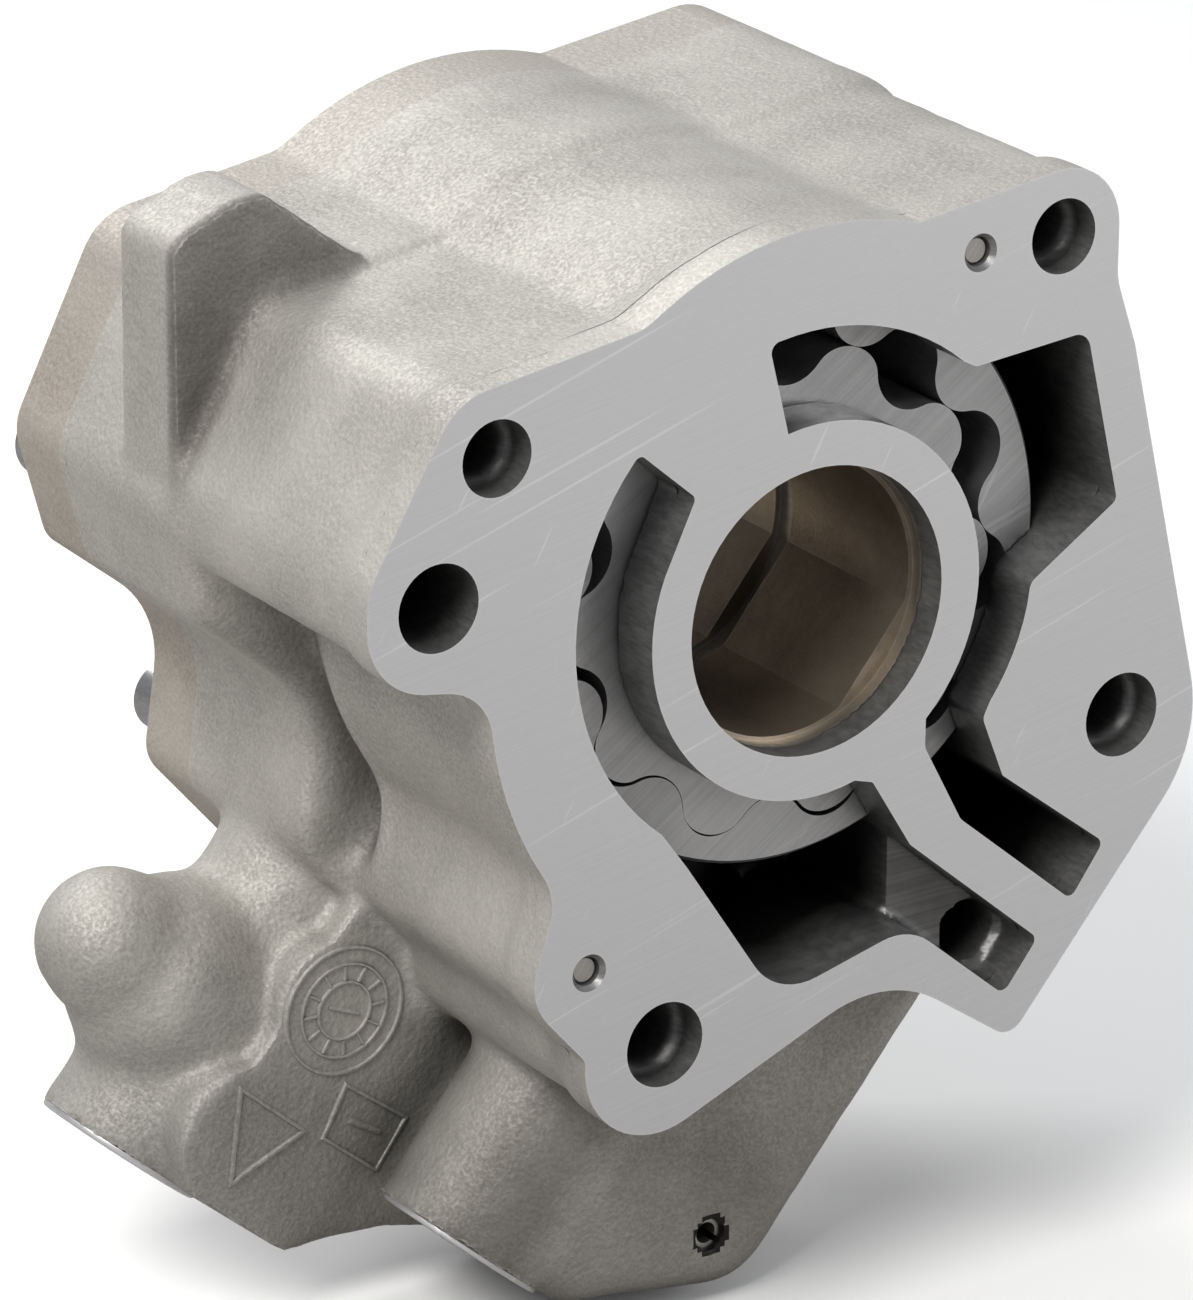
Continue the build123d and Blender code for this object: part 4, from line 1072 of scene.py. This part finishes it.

# %% [markdown]
# ### Relief spring
# The spring sits between the relief piston and its plug. It is wound from round wire: a ring of points is
# carried along a helix. Its length, radius and wire are measured on the CAD spring.

# %% Wind the relief spring
coil_points = read_points(nodes["relief_spring"].data)
coil_centre = Vector(arm_across * relief_axis[0]) + Vector((0, relief_axis[1], 0))
coil_along = coil_points @ arm_along
coil_away = from_arm_axis(coil_points, relief_axis)
wire = float(coil_away.max() - coil_away.min())
coil_radius = float(coil_away.max() + coil_away.min()) / 2
foot, top = float(coil_along.min()), float(coil_along.max())
coil_turns, steps_per_turn, wire_sides = 5, 30, 10
work = bmesh.new()
rings = []
for step in range(coil_turns * steps_per_turn + 1):
    turn = 2 * math.pi * step / steps_per_turn
    outward = Vector(arm_across) * math.cos(turn) + Vector((0, 1, 0)) * math.sin(turn)
    rise = foot + wire / 2 + (top - foot - wire) * step / (coil_turns * steps_per_turn)
    ring_centre = coil_centre + outward * coil_radius + Vector(arm_along) * rise
    ring = []
    for side in range(wire_sides):
        around = 2 * math.pi * side / wire_sides
        way = outward * math.cos(around) + Vector(arm_along) * math.sin(around)
        ring.append(work.verts.new(ring_centre + way * (wire * 0.49)))
    rings.append(ring)
for here, there in zip(rings, rings[1:]):
    skin_between(work, here, there)
work.faces.new(rings[0])
work.faces.new(list(reversed(rings[-1])))
relief_coil = finished_piece(work, "relief_coil", spring_wire)
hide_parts("relief_spring")
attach(relief_coil, "housing")
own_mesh(relief_coil)
print("spring length, wire and radius in mm:", [round(v / MM, 2) for v in (top - foot, wire, coil_radius)])

# %% [markdown]
# ### Foundry marks
# A foundry presses a few small marks into its moulds. Here they are plain shapes: a dial with a tick for
# each month, a triangle, and a slanted frame. Each line of a mark is a low bead with sloping sides, because
# sand can't hold a sharp one. The beads stand on the pads, less than a third of a millimetre proud.

# %% Beads that stand on the pads
pad_depth = 36.0 * MM


def add_bead(work, path, closed, width, height):
    """A low ridge along a flat path, wider at its foot than at its top."""
    path = [Vector((p[0], 0, p[1])) for p in path]
    count = len(path)
    rows = []
    for place, point in enumerate(path):
        before = path[place - 1] if closed or place > 0 else point
        after = path[(place + 1) % count] if closed or place < count - 1 else point
        incoming = (point - before).normalized() if point != before else (after - point).normalized()
        outgoing = (after - point).normalized() if point != after else incoming
        side = Vector((-(incoming + outgoing).z, 0, (incoming + outgoing).x)).normalized()
        stretch = 1 / max(0.5, side.dot(Vector((-outgoing.z, 0, outgoing.x))))
        row = []
        for offset, lift in ((-0.5, -0.15 * MM), (-0.22, height), (0.22, height), (0.5, -0.15 * MM)):
            spot = point + side * (offset * width * stretch)
            row.append(work.verts.new((spot.x, pad_depth - lift, spot.z)))
        rows.append(row)
    steps = range(count) if closed else range(count - 1)
    for place in steps:
        skin_between(work, rows[place], rows[(place + 1) % count])
    if not closed:
        work.faces.new(rows[0])
        work.faces.new(list(reversed(rows[-1])))


def on_pad(across, along):
    """A point of the pads' plane, from its place across the arm and along it, in millimetres."""
    spot = arm_across * across * MM + arm_along * along * MM
    return (spot[0], spot[2])


def circle_on_pad(across, along, radius, count=48):
    turns = [2 * math.pi * k / count for k in range(count)]
    return [on_pad(across + radius * math.cos(t), along + radius * math.sin(t)) for t in turns]


def finish_mark(name, work):
    piece = finished_piece(work, name, cast_skin, sharp_degrees=60)
    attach(piece, "housing")
    return piece


# %% Dial, triangle and frame
dial_across, dial_along = 4.6, -61.8
work = bmesh.new()
for radius, width in ((7.3, 0.55), (5.4, 0.45), (3.3, 0.45)):
    add_bead(work, circle_on_pad(dial_across, dial_along, radius), True, width * MM, 0.30 * MM)
for month in range(12):
    turn = math.radians(30 * month + 8)
    inner = on_pad(dial_across + 3.5 * math.cos(turn), dial_along + 3.5 * math.sin(turn))
    outer = on_pad(dial_across + 5.2 * math.cos(turn), dial_along + 5.2 * math.sin(turn))
    add_bead(work, [inner, outer], False, 0.45 * MM, 0.26 * MM)
pointer = [on_pad(dial_across - 1.9, dial_along - 0.6), on_pad(dial_across + 1.9, dial_along + 0.6)]
add_bead(work, pointer, False, 0.6 * MM, 0.28 * MM)
date_dial = finish_mark("date_dial", work)

work = bmesh.new()
triangle_path = [on_pad(-1.5, -74.9), on_pad(4.4, -84.1), on_pad(9.0, -75.1)]
add_bead(work, triangle_path, True, 0.7 * MM, 0.30 * MM)
triangle_mark = finish_mark("triangle_mark", work)

work = bmesh.new()
frame_path = [on_pad(10.5, -68.5), on_pad(20.1, -68.0), on_pad(20.5, -74.6), on_pad(11.8, -74.7)]
add_bead(work, frame_path, True, 0.6 * MM, 0.28 * MM)
add_bead(work, [on_pad(13.6, -71.6), on_pad(18.0, -70.9)], False, 0.9 * MM, 0.28 * MM)
frame_mark = finish_mark("frame_mark", work)
print("marks:", date_dial.name, triangle_mark.name, frame_mark.name)

# %% [markdown]
# ## Finishes
# Every piece that came from the CAD model gets one of the metals, or rubber. A table keeps that choice in
# one place, so a finish can be changed without searching for it.

# %% Assign the metals to the pump's own pieces
finishes = {
    "pump_body": cast_skin,
    "rear_cover": cover_skin,
    "feed_inner_rotor": inner_rotor_steel,
    "middle_inner_rotor": inner_rotor_steel,
    "rear_inner_rotor": inner_rotor_steel,
    "feed_outer_rotor": rotor_steel,
    "middle_outer_rotor": rotor_steel,
    "rear_outer_rotor": rotor_steel,
    "front_plate": plate_steel,
    "middle_port_plate": plate_steel,
    "rear_port_plate": plate_steel,
    "wave_spring": spring_wire,
    "relief_spring": spring_wire,
    "relief_piston": valve_steel,
    "relief_plug": plug_alloy,
    "relief_pin": pin_steel,
    "face_dowels": pin_steel,
    "ring_dowels": pin_steel,
    "cover_screws": screw_plating,
    "cover_seal": seal_rubber,
    "plug_seal": seal_rubber,
    "inlet_seals": seal_rubber,
    "outlet_seal": seal_rubber,
}
for name, material in finishes.items():
    mesh = nodes[name].data
    if len(mesh.materials) == 0:
        mesh.materials.append(material)
    for place in range(len(mesh.materials)):
        mesh.materials[place] = material
print("dressed pieces:", len(finishes), "of", len(nodes))
